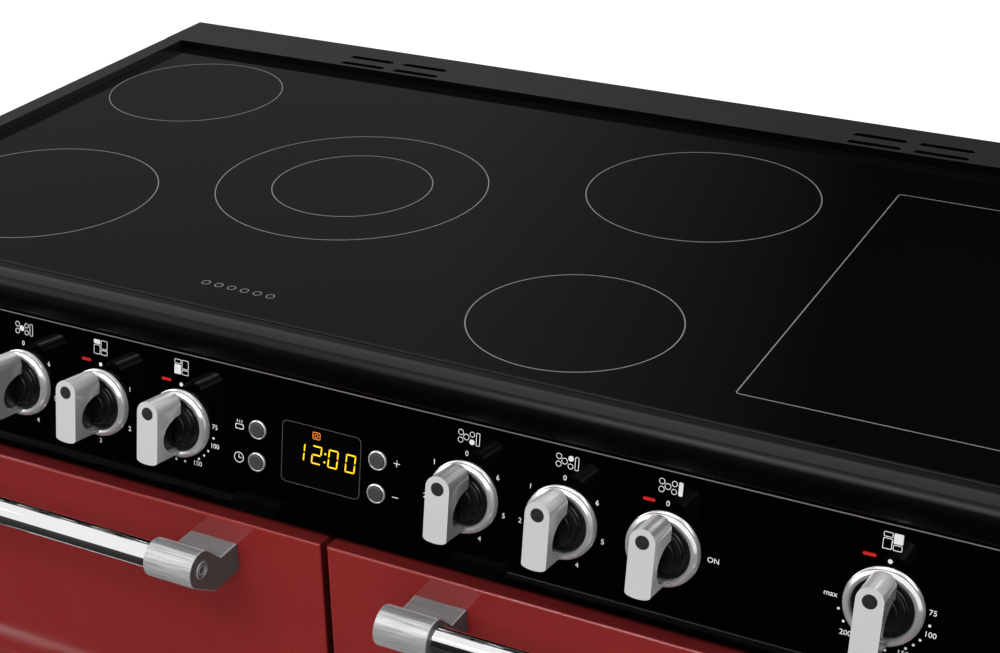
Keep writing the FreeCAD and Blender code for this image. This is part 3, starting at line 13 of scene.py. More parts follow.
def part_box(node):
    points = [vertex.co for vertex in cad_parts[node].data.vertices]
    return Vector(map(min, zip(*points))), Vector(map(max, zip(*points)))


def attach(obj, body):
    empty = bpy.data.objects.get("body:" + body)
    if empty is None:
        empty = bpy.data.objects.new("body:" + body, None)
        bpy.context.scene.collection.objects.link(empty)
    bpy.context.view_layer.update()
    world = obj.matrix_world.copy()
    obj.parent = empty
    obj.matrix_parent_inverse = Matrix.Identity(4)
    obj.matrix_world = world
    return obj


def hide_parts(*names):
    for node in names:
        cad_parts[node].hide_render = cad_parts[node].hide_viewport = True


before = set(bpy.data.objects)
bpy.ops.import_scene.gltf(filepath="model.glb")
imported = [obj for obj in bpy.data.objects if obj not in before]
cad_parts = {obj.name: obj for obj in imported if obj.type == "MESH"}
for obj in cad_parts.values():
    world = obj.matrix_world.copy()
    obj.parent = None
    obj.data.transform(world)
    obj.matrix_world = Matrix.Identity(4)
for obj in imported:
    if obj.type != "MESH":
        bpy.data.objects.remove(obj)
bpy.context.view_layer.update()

MM = 0.001
SHEET = 1.5                       # folded steel sheet
LEAN = math.radians(9.7)          # the fascia leans back by this
FASCIA_TOP = (-231.1, 860.0)      # y and z of its upper front edge
GLASS_TOP = 893.0
DOOR_FACE = -260.5

ALONG_X = Matrix(((0, 0, 1, 0), (1, 0, 0, 0), (0, 1, 0, 0), (0, 0, 0, 1)))
FACING_FRONT = Matrix(((1, 0, 0, 0), (0, 0, -1, 0), (0, 1, 0, 0), (0, 0, 0, 1)))
ON_FASCIA = (Matrix.Translation((0, FASCIA_TOP[0], FASCIA_TOP[1]))
             @ Matrix.Rotation(math.pi / 2 - LEAN, 4, "X"))


def at(x, y, z):
    return Matrix.Translation((x, y, z))


def corners(node):
    """A CAD node's lowest and highest corner, in millimetres."""
    low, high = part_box(node)
    return low / MM, high / MM


# ---- nodes

def fill(tree, node, sockets):
    """Gives sockets a value or a link. In a key, __ is a space and _1 is a socket's number."""
    for key, value in sockets.items():
        socket = node.inputs[int(key[1:])] if key[0] == "_" else node.inputs[key.replace("__", " ")]
        if isinstance(value, bpy.types.NodeSocket):
            tree.links.new(value, socket)
        else:
            socket.default_value = value


def add(tree, kind, settings=None, **sockets):
    """Adds a node and gives its outputs."""
    node = tree.nodes.new(kind)
    for key, value in (settings or {}).items():
        setattr(node, key, value)
    fill(tree, node, sockets)
    return node.outputs


def maths(tree, operation, first, second):
    return add(tree, "ShaderNodeMath", {"operation": operation}, _0=first, _1=second)[0]


# ---- materials

def blank(name, colour, roughness, **sockets):
    """A material with one Principled shader; sockets are set on the shader itself."""
    material = bpy.data.materials.new(name)
    material.use_nodes = True
    material.diffuse_color = (*colour, 1)
    tree = material.node_tree
    shader = tree.nodes["Principled BSDF"]
    fill(tree, shader, {"Base__Color": (*colour, 1), "Roughness": roughness, **sockets})
    return material, tree, shader


def noise(tree, scale, detail=3.0, stretch=(1, 1, 1)):
    """Noise on the object's own coordinates, in metres."""
    place = add(tree, "ShaderNodeTexCoord")["Object"]
    scaled = add(tree, "ShaderNodeMapping", Vector=place, Scale=stretch)["Vector"]
    return add(tree, "ShaderNodeTexNoise", Vector=scaled, Scale=scale, Detail=detail)["Fac"]


def ramp(tree, source, low, high, from_low=0.3, from_high=0.7):
    """Maps a texture's middle range to low..high."""
    return add(tree, "ShaderNodeMapRange", Value=source, From__Min=from_low, From__Max=from_high,
               To__Min=low, To__Max=high)["Result"]


def tint(tree, shader, source, dark, light):
    """Colours the base between two tones."""
    mixed = add(tree, "ShaderNodeMix", {"data_type": "RGBA"}, A=(*dark, 1), B=(*light, 1),
                Factor=source)["Result"]
    fill(tree, shader, {"Base__Color": mixed})


def surface(name, colour, roughness, dark, tone, middle=(0.3, 0.7), wear=None, grain=None,
            **sockets):
    """A material whose colour, gloss and height vary with noise.

    dark is a share of the colour or a colour of its own. tone holds a noise's settings; wear
    holds them with the lowest and highest roughness, and grain with a strength and a distance.
    """
    material, tree, shader = blank(name, colour, roughness, **sockets)
    deep = tuple(c * dark for c in colour) if isinstance(dark, float) else dark
    tint(tree, shader, ramp(tree, noise(tree, *tone), 0, 1, *middle), deep, colour)
    if wear:
        fill(tree, shader, {"Roughness": ramp(tree, noise(tree, *wear[0]), *wear[1:])})
    if grain:
        raised = add(tree, "ShaderNodeBump", Height=noise(tree, *grain[0]), Strength=grain[1],
                     Distance=grain[2])["Normal"]
        fill(tree, shader, {"Normal": raised})
    return material


def satin_paint(name, colour, roughness, grain=900, depth=0.12, level=0.5):
    """Stoved paint: nearly even, with a fine grain."""
    return surface(name, colour, roughness, 0.88, (9,),
                   wear=((30,), roughness - 0.02, roughness + 0.02),
                   grain=((grain, 2), depth, 0.0001), Specular__IOR__Level=level)


def brushed(name, colour, roughness, stretch, depth=0.25, metallic=1.0, dark=0.72):
    """Metal with fine parallel scratches; stretch is long across the scratches."""
    scratches = (60, 6, stretch)
    return surface(name, colour, roughness, dark, scratches,
                   wear=(scratches, roughness - 0.1, roughness + 0.14),
                   grain=(scratches, depth, 0.0001), Metallic=metallic)


def bright(name, colour, roughness, metallic=1.0, dark=0.96, tone=(25,), middle=(0.3, 0.7)):
    """Plated or polished metal with faint polishing marks; on the knob grips it also carries
    painted reflections and a painted highlight.
    """
    return surface(name, colour, roughness, dark, tone, middle,
                   wear=((55,), roughness * 0.85, roughness * 1.2), Metallic=metallic)


def black_glass(name, colour, roughness, level):
    return surface(name, colour, roughness, 0.8, (4,),
                   wear=((14,), roughness * 0.8, roughness * 1.3), Specular__IOR__Level=level)


def moulded(name, colour, roughness, grain=1400, depth=0.15):
    """Moulded plastic or rubber with a fine grain."""
    return surface(name, colour, roughness, 0.8, (20,),
                   wear=((60,), roughness - 0.04, roughness + 0.06),
                   grain=((grain, 2), depth, 0.0002))


def print_ink(name, colour, glow=0.0):
    """Screen-printed ink, and the painted highlight lines drawn like it, with a slightly uneven
    edge of cover.
    """
    lit = {"Emission__Color": (*colour, 1), "Emission__Strength": glow} if glow else {}
    return surface(name, colour, 0.45, 0.86, (700,), **lit)


def spangled_zinc(name):
    """Zinc-coated sheet with its crystal pattern."""
    material, tree, shader = blank(name, (0.55, 0.56, 0.57), 0.42, Metallic=0.8)
    cells = add(tree, "ShaderNodeTexVoronoi", Scale=90,
                Vector=add(tree, "ShaderNodeTexCoord")["Object"])["Color"]
    grey = add(tree, "ShaderNodeSeparateColor", Color=cells)
    tint(tree, shader, grey["Red"], (0.46, 0.47, 0.48), (0.57, 0.58, 0.59))
    fill(tree, shader, {"Roughness": ramp(tree, grey["Green"], 0.32, 0.5, 0, 1)})
    return material


def tinted_pane(name, colour, transmission):
    material, tree, shader = blank(name, colour, 0.04, Transmission__Weight=transmission)
    fill(tree, shader, {"Roughness": ramp(tree, noise(tree, 12), 0.03, 0.06)})
    return material


# vitreous enamel: even colour, high gloss, a faint ripple and a few pinholes of dust
RED_ENAMEL = surface("red_enamel", (0.224, 0.018, 0.0175), 0.13, (0.208, 0.016, 0.0155), (6,),
                     wear=((40,), 0.10, 0.17), grain=((260, 2), 0.05, 0.0006),
                     Coat__Weight=0.35, Coat__Roughness=0.04)
# oven enamel: dark, glossy, with fine pale flecks
OVEN_ENAMEL = surface("oven_enamel", (0.09, 0.1, 0.115), 0.2, (0.012, 0.013, 0.016), (1300, 1),
                      (0.66, 0.72), wear=((50,), 0.14, 0.28), grain=((200, 2), 0.06, 0.0005))
OVEN_ENAMEL.diffuse_color = (0.012, 0.013, 0.016, 1)
# painted shade: a darker copy of the red enamel for the doors' side and top faces
RED_PAINTED_SHADE = satin_paint("red_enamel_painted_shade", (0.085, 0.007, 0.0065), 0.5, 120, 0.006, 0.1)
# one black paint in four tones that stand in for light and shade: the trim tone is lighter (painted
# light) for tops and the rear trim; the frame tone is darker (painted shade) for the nose and the
# rest of the hob frame; the forward and deep tones are darker still (painted shade) for faces
# turned forward and down
FRAME_PAINTED_SHADE = satin_paint("black_frame_painted_shade", (0.008, 0.008, 0.0085), 0.2, 120, 0.006, 0.26)
TRIM_PAINTED_LIGHT = satin_paint("black_trim_painted_light", (0.021, 0.021, 0.0215), 0.24, 120, 0.006, 0.28)
FORWARD_PAINTED_SHADE = satin_paint("black_forward_painted_shade", (0.003, 0.003, 0.003), 0.3, 120, 0.006, 0.12)
DEEP_PAINTED_SHADE = satin_paint("black_deep_painted_shade", (0.001, 0.001, 0.001), 0.4, 120, 0.006, 0.04)
SIDE_PAINT = satin_paint("black_side_paint", (0.018, 0.018, 0.019), 0.42)
CERAMIC = black_glass("ceramic_glass", (0.0022, 0.0021, 0.0021), 0.05, 0.5)
FASCIA_GLASS = black_glass("fascia_glass", (0.0005, 0.0005, 0.0005), 0.03, 0.04)
LENS = black_glass("display_lens", (0.0008, 0.0008, 0.0008), 0.05, 0.2)
DOOR_GLASS = tinted_pane("door_glass", (0.045, 0.045, 0.047), 0.7)
LAMP_GLASS = tinted_pane("lamp_glass", (0.85, 0.85, 0.8), 0.8)
RING_PRINT = print_ink("zone_print", (0.17, 0.17, 0.17))
WHITE_PRINT = print_ink("white_print", (0.78, 0.78, 0.78))
# painted highlight along the fascia glass's top edge
EDGE_PAINTED_HIGHLIGHT = print_ink("fascia_edge_painted_highlight", (0.2, 0.17, 0.16))
# painted highlight round the clock window's edge
RIM_PAINTED_HIGHLIGHT = print_ink("clock_rim_painted_highlight", (0.07, 0.065, 0.065))
AMBER = print_ink("amber_digits", (1.0, 0.58, 0.0), 0.5)
ORANGE = print_ink("orange_clock_sign", (0.8, 0.2, 0.02), 0.5)
RED_LAMP = print_ink("red_lamp", (0.48, 0.003, 0.002), 0.12)
CHROME = bright("chrome", (0.86, 0.86, 0.87), 0.06)
RING_METAL = bright("ring_plating", (0.8, 0.8, 0.8), 0.17, 0.7)
# painted reflections: strong dark and light streaks that run from front to rear along the grip's
# plating
GRIP_PAINTED_STREAKS = bright("knob_plating_painted_reflections", (0.92, 0.92, 0.93), 0.14, 0.5, (0.36, 0.36, 0.37),
                    (120, 1.5, (1.6, 0.04, 0.04)), (0.36, 0.56))
GRIP_FACE = bright("knob_face_plating", (0.54, 0.54, 0.54), 0.34, 0.12)
# painted highlight: a near-white, barely metallic copy of the plating for the grip's bevels
GRIP_PAINTED_HIGHLIGHT = bright("knob_edge_painted_highlight", (0.96, 0.96, 0.96), 0.2, 0.05)
BUTTON_METAL = bright("button_plating", (0.06, 0.058, 0.058), 0.42, 0.3)
BRACKET_STEEL = brushed("brushed_bracket", (0.5, 0.5, 0.51), 0.4, (0.6, 16, 16), 0.35, 0.4, 0.55)
# painted shade: darker copies of the bracket steel for its flat tops and its end faces
BRACKET_TOP_PAINTED_SHADE = brushed("bracket_top_painted_shade", (0.24, 0.24, 0.245), 0.42, (0.6, 16, 16), 0.35, 0.4, 0.6)
BRACKET_END_PAINTED_SHADE = brushed("bracket_end_painted_shade", (0.11, 0.11, 0.112), 0.45, (16, 16, 0.6), 0.3, 0.35, 0.6)
HINGE_STEEL = brushed("hinge_steel", (0.5, 0.5, 0.52), 0.4, (30, 1, 30))
ELEMENT_STEEL = brushed("heated_steel", (0.22, 0.2, 0.19), 0.5, (1, 8, 8))
ZINC = spangled_zinc("zinc_sheet")
KNOB_BLACK = moulded("knob_black", (0.006, 0.006, 0.006), 0.24, 1500, 0.08)
DOT_BLACK = moulded("grip_dot", (0.02, 0.02, 0.02), 0.3, depth=0.02)
BLACK_PLASTIC = moulded("black_plastic", (0.02, 0.02, 0.02), 0.5)
SEAL = moulded("door_seal", (0.035, 0.034, 0.033), 0.85, 700, 0.6)
MINERAL = moulded("mineral_dish", (0.7, 0.67, 0.6), 0.95, 500, 0.8)

NODE_MATERIALS = {
    CERAMIC: ["ceramic_glass"],
    MINERAL: ["radiant_elements"],
    ZINC: ["element_tray", "back_panel", "base_frame", "column_divider", "drawer_bay",
           "fan_motors", "fascia_carrier", "drawer_box"],
    SIDE_PAINT: ["side_panel_left", "side_panel_right", "plinth"],
    BLACK_PLASTIC: ["terminal_cover", "levelling_feet", "switchgear"],
    OVEN_ENAMEL: ["grill_cavity", "main_cavity", "tall_cavity", "grill_pan", "fan_baffles",
                  "grill_door_pan", "main_door_pan", "tall_door_pan"],
    SEAL: ["door_seals"],
    ELEMENT_STEEL: ["oven_elements", "main_oven_fan", "tall_oven_fan"],
    LAMP_GLASS: ["oven_lamps"],
    DOOR_GLASS: ["main_door_glass", "tall_door_glass"],
    HINGE_STEEL: ["hinge_plates"],
}
for material, nodes in NODE_MATERIALS.items():
    for node in nodes:
        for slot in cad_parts[node].material_slots:
            slot.material = material


# ---- outlines

def arc(u, v, radius, start, end, steps):
    """Points on an arc, degrees from the U axis, both ends included."""
    points = []
    for i in range(steps + 1):
        angle = math.radians(start + (end - start) * i / steps)
        points.append((u + radius * math.cos(angle), v + radius * math.sin(angle)))
    return points


def box(u0, u1, v0, v1):
    return [(u0, v0), (u1, v0), (u1, v1), (u0, v1)]


def rounded_box(u0, u1, v0, v1, radius, steps=6):
    return (arc(u1 - radius, v0 + radius, radius, -90, 0, steps)
            + arc(u1 - radius, v1 - radius, radius, 0, 90, steps)
            + arc(u0 + radius, v1 - radius, radius, 90, 180, steps)
            + arc(u0 + radius, v0 + radius, radius, 180, 270, steps))


def circle(u, v, radius, steps=48):
    return arc(u, v, radius, 0, 360, steps)[:-1]


def obround(u, v, length, width, steps=10):
    radius = width / 2
    reach = length / 2 - radius
    return (arc(u + reach, v, radius, -90, 90, steps)
            + arc(u - reach, v, radius, 90, 270, steps))


# ---- solids, as bmeshes

def prism(outline, low, high, lay=Matrix()):
    """A solid between two planes, from an outline without holes."""
    builder = bmesh.new()
    ends = [[builder.verts.new(lay @ Vector((u, v, level))) for u, v in outline]
            for level in (low, high)]
    for end in ends:
        builder.faces.new(end)
    for i in range(len(outline)):
        j = (i + 1) % len(outline)
        builder.faces.new((ends[0][i], ends[0][j], ends[1][j], ends[1][i]))
    bmesh.ops.recalc_face_normals(builder, faces=builder.faces)
    return builder


def turned(profile, lay=Matrix(), steps=56, closed=False):
    """A turned solid; the profile holds (radius, height) pairs."""
    builder = bmesh.new()
    rings = []
    for radius, height in list(profile) + ([profile[0]] if closed else []):
        spots = [(0, 0)] if radius < 1e-6 else circle(0, 0, radius, steps)
        rings.append([builder.verts.new(lay @ Vector((u, v, height))) for u, v in spots])
    for first, second in zip(rings, rings[1:]):
        for i in range(steps):
            j = (i + 1) % steps
            loop = [first[i % len(first)], first[j % len(first)],
                    second[j % len(second)], second[i % len(second)]]
            loop = [v for k, v in enumerate(loop) if v is not loop[k - 1]]
            if len(loop) > 2:
                builder.faces.new(loop)
    return builder


def plate(outline, holes, low, high, lay=Matrix()):
    """A flat plate with holes."""
    builder = bmesh.new()
    caps = []
    for level in (low, high):
        edges = []
        rows = []
        for loop in [outline, *holes]:
            row = [builder.verts.new(lay @ Vector((u, v, level))) for u, v in loop]
            rows.append(row)
            edges += [builder.edges.new((row[i - 1], row[i])) for i in range(len(row))]
        bmesh.ops.triangle_fill(builder, use_beauty=True, use_dissolve=False, edges=edges)
        caps.append(rows)
    for low_row, high_row in zip(*caps):
        for i in range(len(low_row)):
            builder.faces.new((low_row[i - 1], low_row[i], high_row[i], high_row[i - 1]))
    return builder


def soften(builder, width, segments=2, angle=30, keep=None):
    """Bevels the sharp edges of a bmesh; keep(edge) picks among them."""
    chosen = [edge for edge in builder.edges
              if len(edge.link_faces) == 2
              and edge.calc_face_angle(0) > math.radians(angle)
              and (keep is None or keep(edge))]
    bmesh.ops.bevel(builder, geom=chosen, offset=width, segments=segments, profile=0.5,
                    affect="EDGES", clamp_overlap=True)


# ---- pieces

def placed(name, data):
    """Puts an object with this data into the scene."""
    holder = bpy.data.objects.new(name, data)
    bpy.context.collection.objects.link(holder)
    return holder


def mesh_of(name, builder):
    """Turns a bmesh into a mesh and frees it."""
    mesh = bpy.data.meshes.new(name)
    builder.to_mesh(mesh)
    builder.free()
    return mesh


def final_mesh(holder):
    """A new mesh that holds what an object's modifiers or curve give."""
    graph = bpy.context.evaluated_depsgraph_get()
    return bpy.data.meshes.new_from_object(holder.evaluated_get(graph))


def applied(piece):
    """Turns a piece's modifiers into its own plain mesh."""
    mesh, before = final_mesh(piece), piece.data
    piece.modifiers.clear()
    piece.data = mesh
    bpy.data.meshes.remove(before)
    return piece


def finished(name, builder, material, smooth=35):
    """Turns a bmesh in millimetres into an object in metres."""
    bmesh.ops.remove_doubles(builder, verts=builder.verts, dist=0.001)
    bmesh.ops.recalc_face_normals(builder, faces=builder.faces)
    builder.transform(Matrix.Scale(MM, 4))
    mesh = mesh_of(name, builder)
    mesh.shade_smooth()
    mesh.set_sharp_from_angle(angle=math.radians(smooth))
    mesh.materials.append(material)
    piece = placed(name, mesh)
    piece.modifiers.new("weigh", "WEIGHTED_NORMAL").keep_sharp = True
    return applied(piece)


def joined(name, builders, material, smooth=35):
    """One object from several bmeshes."""
    whole = bmesh.new()
    for builder in builders:
        mesh = mesh_of("part", builder)
        whole.from_mesh(mesh)
        bpy.data.meshes.remove(mesh)
    return finished(name, whole, material, smooth)


def repainted(piece, *choices):
    """Gives the faces that a test picks a further material; a later choice wins."""
    for material, picked in choices:
        piece.data.materials.append(material)
        for face in piece.data.polygons:
            if picked(face):
                face.material_index = len(piece.data.materials) - 1
    return piece


def boolean(piece, operation, other):
    modifier = piece.modifiers.new("boolean", "BOOLEAN")
    modifier.operation = operation
    modifier.solver = "EXACT"
    modifier.object = other


def settle(piece, body, slot_name, *nodes):
    """Gives a finished piece its body and hides the CAD nodes it stands for; the record slot name
    is not used.
    """
    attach(piece, body)
    if nodes:
        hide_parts(*nodes)
    return piece


# ---- print and painted highlight strips

INK = 0.06          # printed marks and painted highlight strips stand this far off the glass
LETTER_OFFSET = 0.006     # thickens a letter by this share of its size


def lettering(text, size, u, v):
    """Flat raised text on the fascia as a bmesh, centred on u, v."""
    curve = bpy.data.curves.new("text", "FONT")
    curve.body = text
    curve.size = size
    curve.align_x = "CENTER"
    curve.align_y = "CENTER"
    curve.resolution_u = 3
    curve.offset = size * LETTER_OFFSET
    holder = placed("text", curve)
    mesh = final_mesh(holder)
    bpy.data.objects.remove(holder)
    bpy.data.curves.remove(curve)
    mesh.transform(ON_FASCIA @ at(u, v, INK))
    builder = bmesh.new()
    builder.from_mesh(mesh)
    bpy.data.meshes.remove(mesh)
    return builder


def inked(outline, holes=(), lay=ON_FASCIA):
    return plate(outline, holes, 0.005, INK, lay)


def ink_ring(u, v, radius, width, steps=96, lay=ON_FASCIA):
    return inked(circle(u, v, radius + width / 2, steps),
                 [circle(u, v, radius - width / 2, steps)], lay)


def ink_frame(u0, u1, v0, v1, line, radii, steps=3, filled=False, lay=ON_FASCIA):
    """A box with round corners, drawn as a line or filled."""
    outer, inner = radii
    hole = rounded_box(u0 + line, u1 - line, v0 + line, v1 - line, inner, steps)
    return inked(rounded_box(u0, u1, v0, v1, outer, steps), [] if filled else [hole], lay)


def ink_bar(u, v, half_u, half_v):
    return inked(box(u - half_u, u + half_u, v - half_v, v + half_v))


# ---- repeats

def new_tree(name, inputs):
    """A node tree that takes geometry and named inputs and gives geometry."""
    tree = bpy.data.node_groups.new(name, "GeometryNodeTree")
    tree.interface.new_socket("Geometry", in_out="INPUT", socket_type="NodeSocketGeometry")
    for label, kind in inputs:
        tree.interface.new_socket(label, in_out="INPUT", socket_type="NodeSocket" + kind)
    tree.interface.new_socket("Geometry", in_out="OUTPUT", socket_type="NodeSocketGeometry")
    return tree, tree.nodes.new("NodeGroupInput").outputs


def ended(tree, shape, material):
    """Ends a tree with real geometry in its material."""
    real = add(tree, "GeometryNodeRealizeInstances", Geometry=shape)["Geometry"]
    painted = add(tree, "GeometryNodeSetMaterial", Geometry=real, Material=material)["Geometry"]
    fill(tree, tree.nodes.new("NodeGroupOutput"), {"Geometry": painted})
    return tree


def along(tree, **parts):
    return add(tree, "ShaderNodeCombineXYZ", **parts)[0]


def grown(piece, tree, values):
    """Runs a tree on a piece and keeps the plain mesh."""
    modifier = piece.modifiers.new(tree.name, "NODES")
    modifier.node_group = tree
    for item in tree.interface.items_tree:
        if item.in_out == "INPUT" and item.name in values:
            modifier[item.identifier] = values[item.name]
    return applied(piece)


def scatter_tree():
    """Sets one shape on every point, turned to the way the point faces."""
    tree, given = new_tree("fixings", [
        ("Shape", "Object"), ("Size", "Float"), ("Twist", "Float"), ("Material", "Material")])
    facing = add(tree, "GeometryNodeInputNamedAttribute", {"data_type": "FLOAT_VECTOR"},
                 Name="facing")["Attribute"]
    turn = add(tree, "FunctionNodeAlignRotationToVector", {"axis": "Z"}, Vector=facing)["Rotation"]
    shape = add(tree, "GeometryNodeObjectInfo", Object=given["Shape"])["Geometry"]
    copies = add(tree, "GeometryNodeInstanceOnPoints", Points=given["Geometry"], Instance=shape,
                 Rotation=turn, Scale=given["Size"])["Instances"]
    chance = add(tree, "FunctionNodeRandomValue", {"data_type": "FLOAT"}, Seed=11)
    random = [socket for socket in chance if socket.enabled][0]
    spin = along(tree, Z=maths(tree, "MULTIPLY", random, given["Twist"]))
    spun = add(tree, "GeometryNodeRotateInstances", Instances=copies, Rotation=spin)["Instances"]
    return ended(tree, spun, given["Material"])


def rack_tree():
    """A wire rack: rounded rim, three cross rods and a row of wires over them."""
    tree, given = new_tree("wire_rack", [
        ("Width", "Float"), ("Depth", "Float"), ("Wires", "Int"), ("Wire Radius", "Float"),
        ("Rod Radius", "Float"), ("Centre", "Vector"), ("Material", "Material")])
    half_width = maths(tree, "DIVIDE", given["Width"], 2.0)
    half_depth = maths(tree, "DIVIDE", given["Depth"], 2.0)

    def tube(curve, radius, sides):
        ring = add(tree, "GeometryNodeCurvePrimitiveCircle", Resolution=sides,
                   Radius=radius)["Curve"]
        return add(tree, "GeometryNodeCurveToMesh", Curve=curve, Profile__Curve=ring,
                   Fill__Caps=True)["Mesh"]

    def line(axis, half):
        start = along(tree, **{axis: maths(tree, "MULTIPLY", half, -1.0)})
        return add(tree, "GeometryNodeCurvePrimitiveLine", Start=start,
                   End=along(tree, **{axis: half}))["Curve"]

    def row(count, start, step, shape):
        spots = add(tree, "GeometryNodeMeshLine", Count=count, Start__Location=start,
                    Offset=step)["Mesh"]
        return add(tree, "GeometryNodeInstanceOnPoints", Points=spots, Instance=shape)["Instances"]

    outline = add(tree, "GeometryNodeCurvePrimitiveQuadrilateral", Width=given["Width"],
                  Height=given["Depth"])["Curve"]
    rounded = add(tree, "GeometryNodeFilletCurve", {"mode": "POLY"}, Curve=outline, Count=6,
                  Radius=0.016)["Curve"]
    rim = tube(rounded, given["Rod Radius"], 10)
    thin = maths(tree, "MULTIPLY", given["Rod Radius"], 0.8)
    third = maths(tree, "MULTIPLY", half_depth, 0.55)
    rods = row(3, along(tree, Y=maths(tree, "MULTIPLY", third, -1.0)), along(tree, Y=third),
               tube(line("X", half_width), thin, 8))
    step = maths(tree, "DIVIDE", given["Width"], maths(tree, "ADD", given["Wires"], 1.0))
    over = maths(tree, "ADD", thin, given["Wire Radius"])
    wires = row(given["Wires"], along(tree, X=maths(tree, "SUBTRACT", step, half_width), Z=over),
                along(tree, X=step), tube(line("Y", half_depth), given["Wire Radius"], 8))
    whole = tree.nodes.new("GeometryNodeJoinGeometry")
    for part in (rim, rods, wires):
        tree.links.new(part, whole.inputs[0])
    moved = add(tree, "GeometryNodeTransform", Geometry=whole.outputs[0],
                Translation=given["Centre"])["Geometry"]
    return ended(tree, moved, given["Material"])


FIXINGS = scatter_tree()
RACK = rack_tree()


def scattered(name, shape, spots, facing, material, twist=0.0):
    """One piece with a copy of a shape at every spot, all facing one way."""
    mesh = bpy.data.meshes.new(name)
    mesh.from_pydata([Vector(spot) * MM for spot in spots], [], [])
    direction = mesh.attributes.new("facing", "FLOAT_VECTOR", "POINT")
    for item in direction.data:
        item.vector = facing
    return grown(placed(name, mesh), FIXINGS, {"Shape": shape, "Size": 1.0, "Twist": twist,
                                               "Material": material})


# ---- hob

TRIM_TOP = 900.0
HALF = 497.5
TRIM_INNER = 479.5
REAR_FRONT = 260.5
BACK = 317.5
SKIRT_LOW = 858                   # lower edge of the skirt
LEDGE_LOW, LEDGE_TOP = 887.5, 889  # ledge under the glass
NOSE_RADIUS = 16
NOSE_Y = -224.8
NOSE_Z = GLASS_TOP - NOSE_RADIUS
LIP_Y = -216.4


def hob_surround():
    """Nose, raised bead and side trims, with rounded folds."""
    outer_nose = arc(NOSE_Y, NOSE_Z, NOSE_RADIUS, 90, 270, 40)
    foot = (NOSE_Y + 7, NOSE_Z - NOSE_RADIUS)
    nose = (outer_nose + [foot, (foot[0], foot[1] + SHEET)]
            + arc(NOSE_Y, NOSE_Z, NOSE_RADIUS - SHEET, 270, 90, 40)
            + [(LIP_Y - SHEET, GLASS_TOP - SHEET), (LIP_Y - SHEET, LEDGE_LOW),
               (LIP_Y + 8.5, LEDGE_LOW), (LIP_Y + 8.5, LEDGE_TOP), (LIP_Y, LEDGE_TOP)]
            + arc(LIP_Y - 0.8, GLASS_TOP, 0.8, 0, 90, 5)
            + arc(LIP_Y - 2.4, GLASS_TOP, 0.8, 90, 180, 5))
    stop = [(NOSE_Y - 0.05, GLASS_TOP - SHEET), (NOSE_Y + SHEET, GLASS_TOP - SHEET),
            (NOSE_Y + SHEET, TRIM_TOP - 0.2), (NOSE_Y + 0.9, TRIM_TOP - 0.2),
            (NOSE_Y - 0.05, TRIM_TOP - 1.2)]
    parts = [prism(nose, -HALF, HALF, ALONG_X)]
    for side in (-1, 1):
        inner, outer = TRIM_INNER * side, HALF * side
        section = [(outer, SKIRT_LOW), (outer, TRIM_TOP - 1.2),
                   (outer - 0.4 * side, TRIM_TOP - 0.4), (outer - 1.2 * side, TRIM_TOP),
                   (inner + 1.0 * side, TRIM_TOP), (inner + 0.3 * side, TRIM_TOP - 0.3),
                   (inner, TRIM_TOP - 1.0), (inner, LEDGE_TOP), (inner - 8 * side, LEDGE_TOP),
                   (inner - 8 * side, LEDGE_LOW), (inner + SHEET * side, LEDGE_LOW),
                   (inner + SHEET * side, TRIM_TOP - SHEET),
                   (outer - SHEET * side, TRIM_TOP - SHEET), (outer - SHEET * side, SKIRT_LOW)]
        parts.append(prism(section, -REAR_FRONT, -NOSE_Y, FACING_FRONT))
        low = min(outer, outer - SHEET * side)
        parts.append(prism(outer_nose + [foot, (foot[0], GLASS_TOP)], low, low + SHEET, ALONG_X))
        parts.append(prism(stop, min(inner, outer), max(inner, outer), ALONG_X))
    # Painted light on the trims' tops, painted shade on faces turned forward and down.
    return repainted(
        joined("hob_frame", parts, FRAME_PAINTED_SHADE, 30),
        (TRIM_PAINTED_LIGHT, lambda face: face.normal.z > 0.9 and face.center.y > (LIP_Y + 3) * MM),
        (FORWARD_PAINTED_SHADE, lambda face: face.normal.y < -0.6),
        (DEEP_PAINTED_SHADE, lambda face: face.normal.y < -0.85))


def rear_trim():
    """Folded trim behind the hob: slotted top, front fold, skirt, ends and glass ledge."""
    slots = [obround(248 * side + 28.4 * column, BACK - 40 + 9 * row, 46.9, 6.5, 14)
             for side in (-1, 1) for column in (-1, 1) for row in (-1, 1)]
    under = TRIM_TOP - SHEET
    top = plate(box(-HALF, HALF, REAR_FRONT, BACK), slots, under, TRIM_TOP)
    bmesh.ops.recalc_face_normals(top, faces=top.faces)

    def upper(edge):
        return all(abs(v.co.z - TRIM_TOP) < 0.01 for v in edge.verts)

    soften(top, 0.7, 3, 60, upper)
    parts = [top]
    inside = (REAR_FRONT + SHEET, BACK - SHEET)
    for across, deep, low, high in (
            ((-HALF, HALF), (REAR_FRONT, REAR_FRONT + SHEET), LEDGE_LOW, under),
            ((-HALF, HALF), (BACK - SHEET, BACK), SKIRT_LOW, under),
            ((-HALF, SHEET - HALF), inside, SKIRT_LOW, under),
            ((HALF - SHEET, HALF), inside, SKIRT_LOW, under),
            ((-471.5, 471.5), (REAR_FRONT - 8, REAR_FRONT), LEDGE_LOW, LEDGE_TOP)):
        parts.append(prism(box(*across, *deep), low, high))
    # Painted shade: faces turned forward get the darkest tone, the rest the lighter trim tone.
    return repainted(joined("rear_trim", parts, TRIM_PAINTED_LIGHT, 30),
                     (DEEP_PAINTED_SHADE, lambda face: face.normal.y < -0.6))


# centre and radius of each printed ring
ZONES = [(-388, 156.5, 79), (-360.5, -97, 94), (-138, 21, 110.3), (-138, 21, 65),
         (129.5, -126.7, 75.5), (125.6, 122, 93)]
ZONE_LINE = 0.85
WARMING_ZONE = (265, 459, -177, 189)


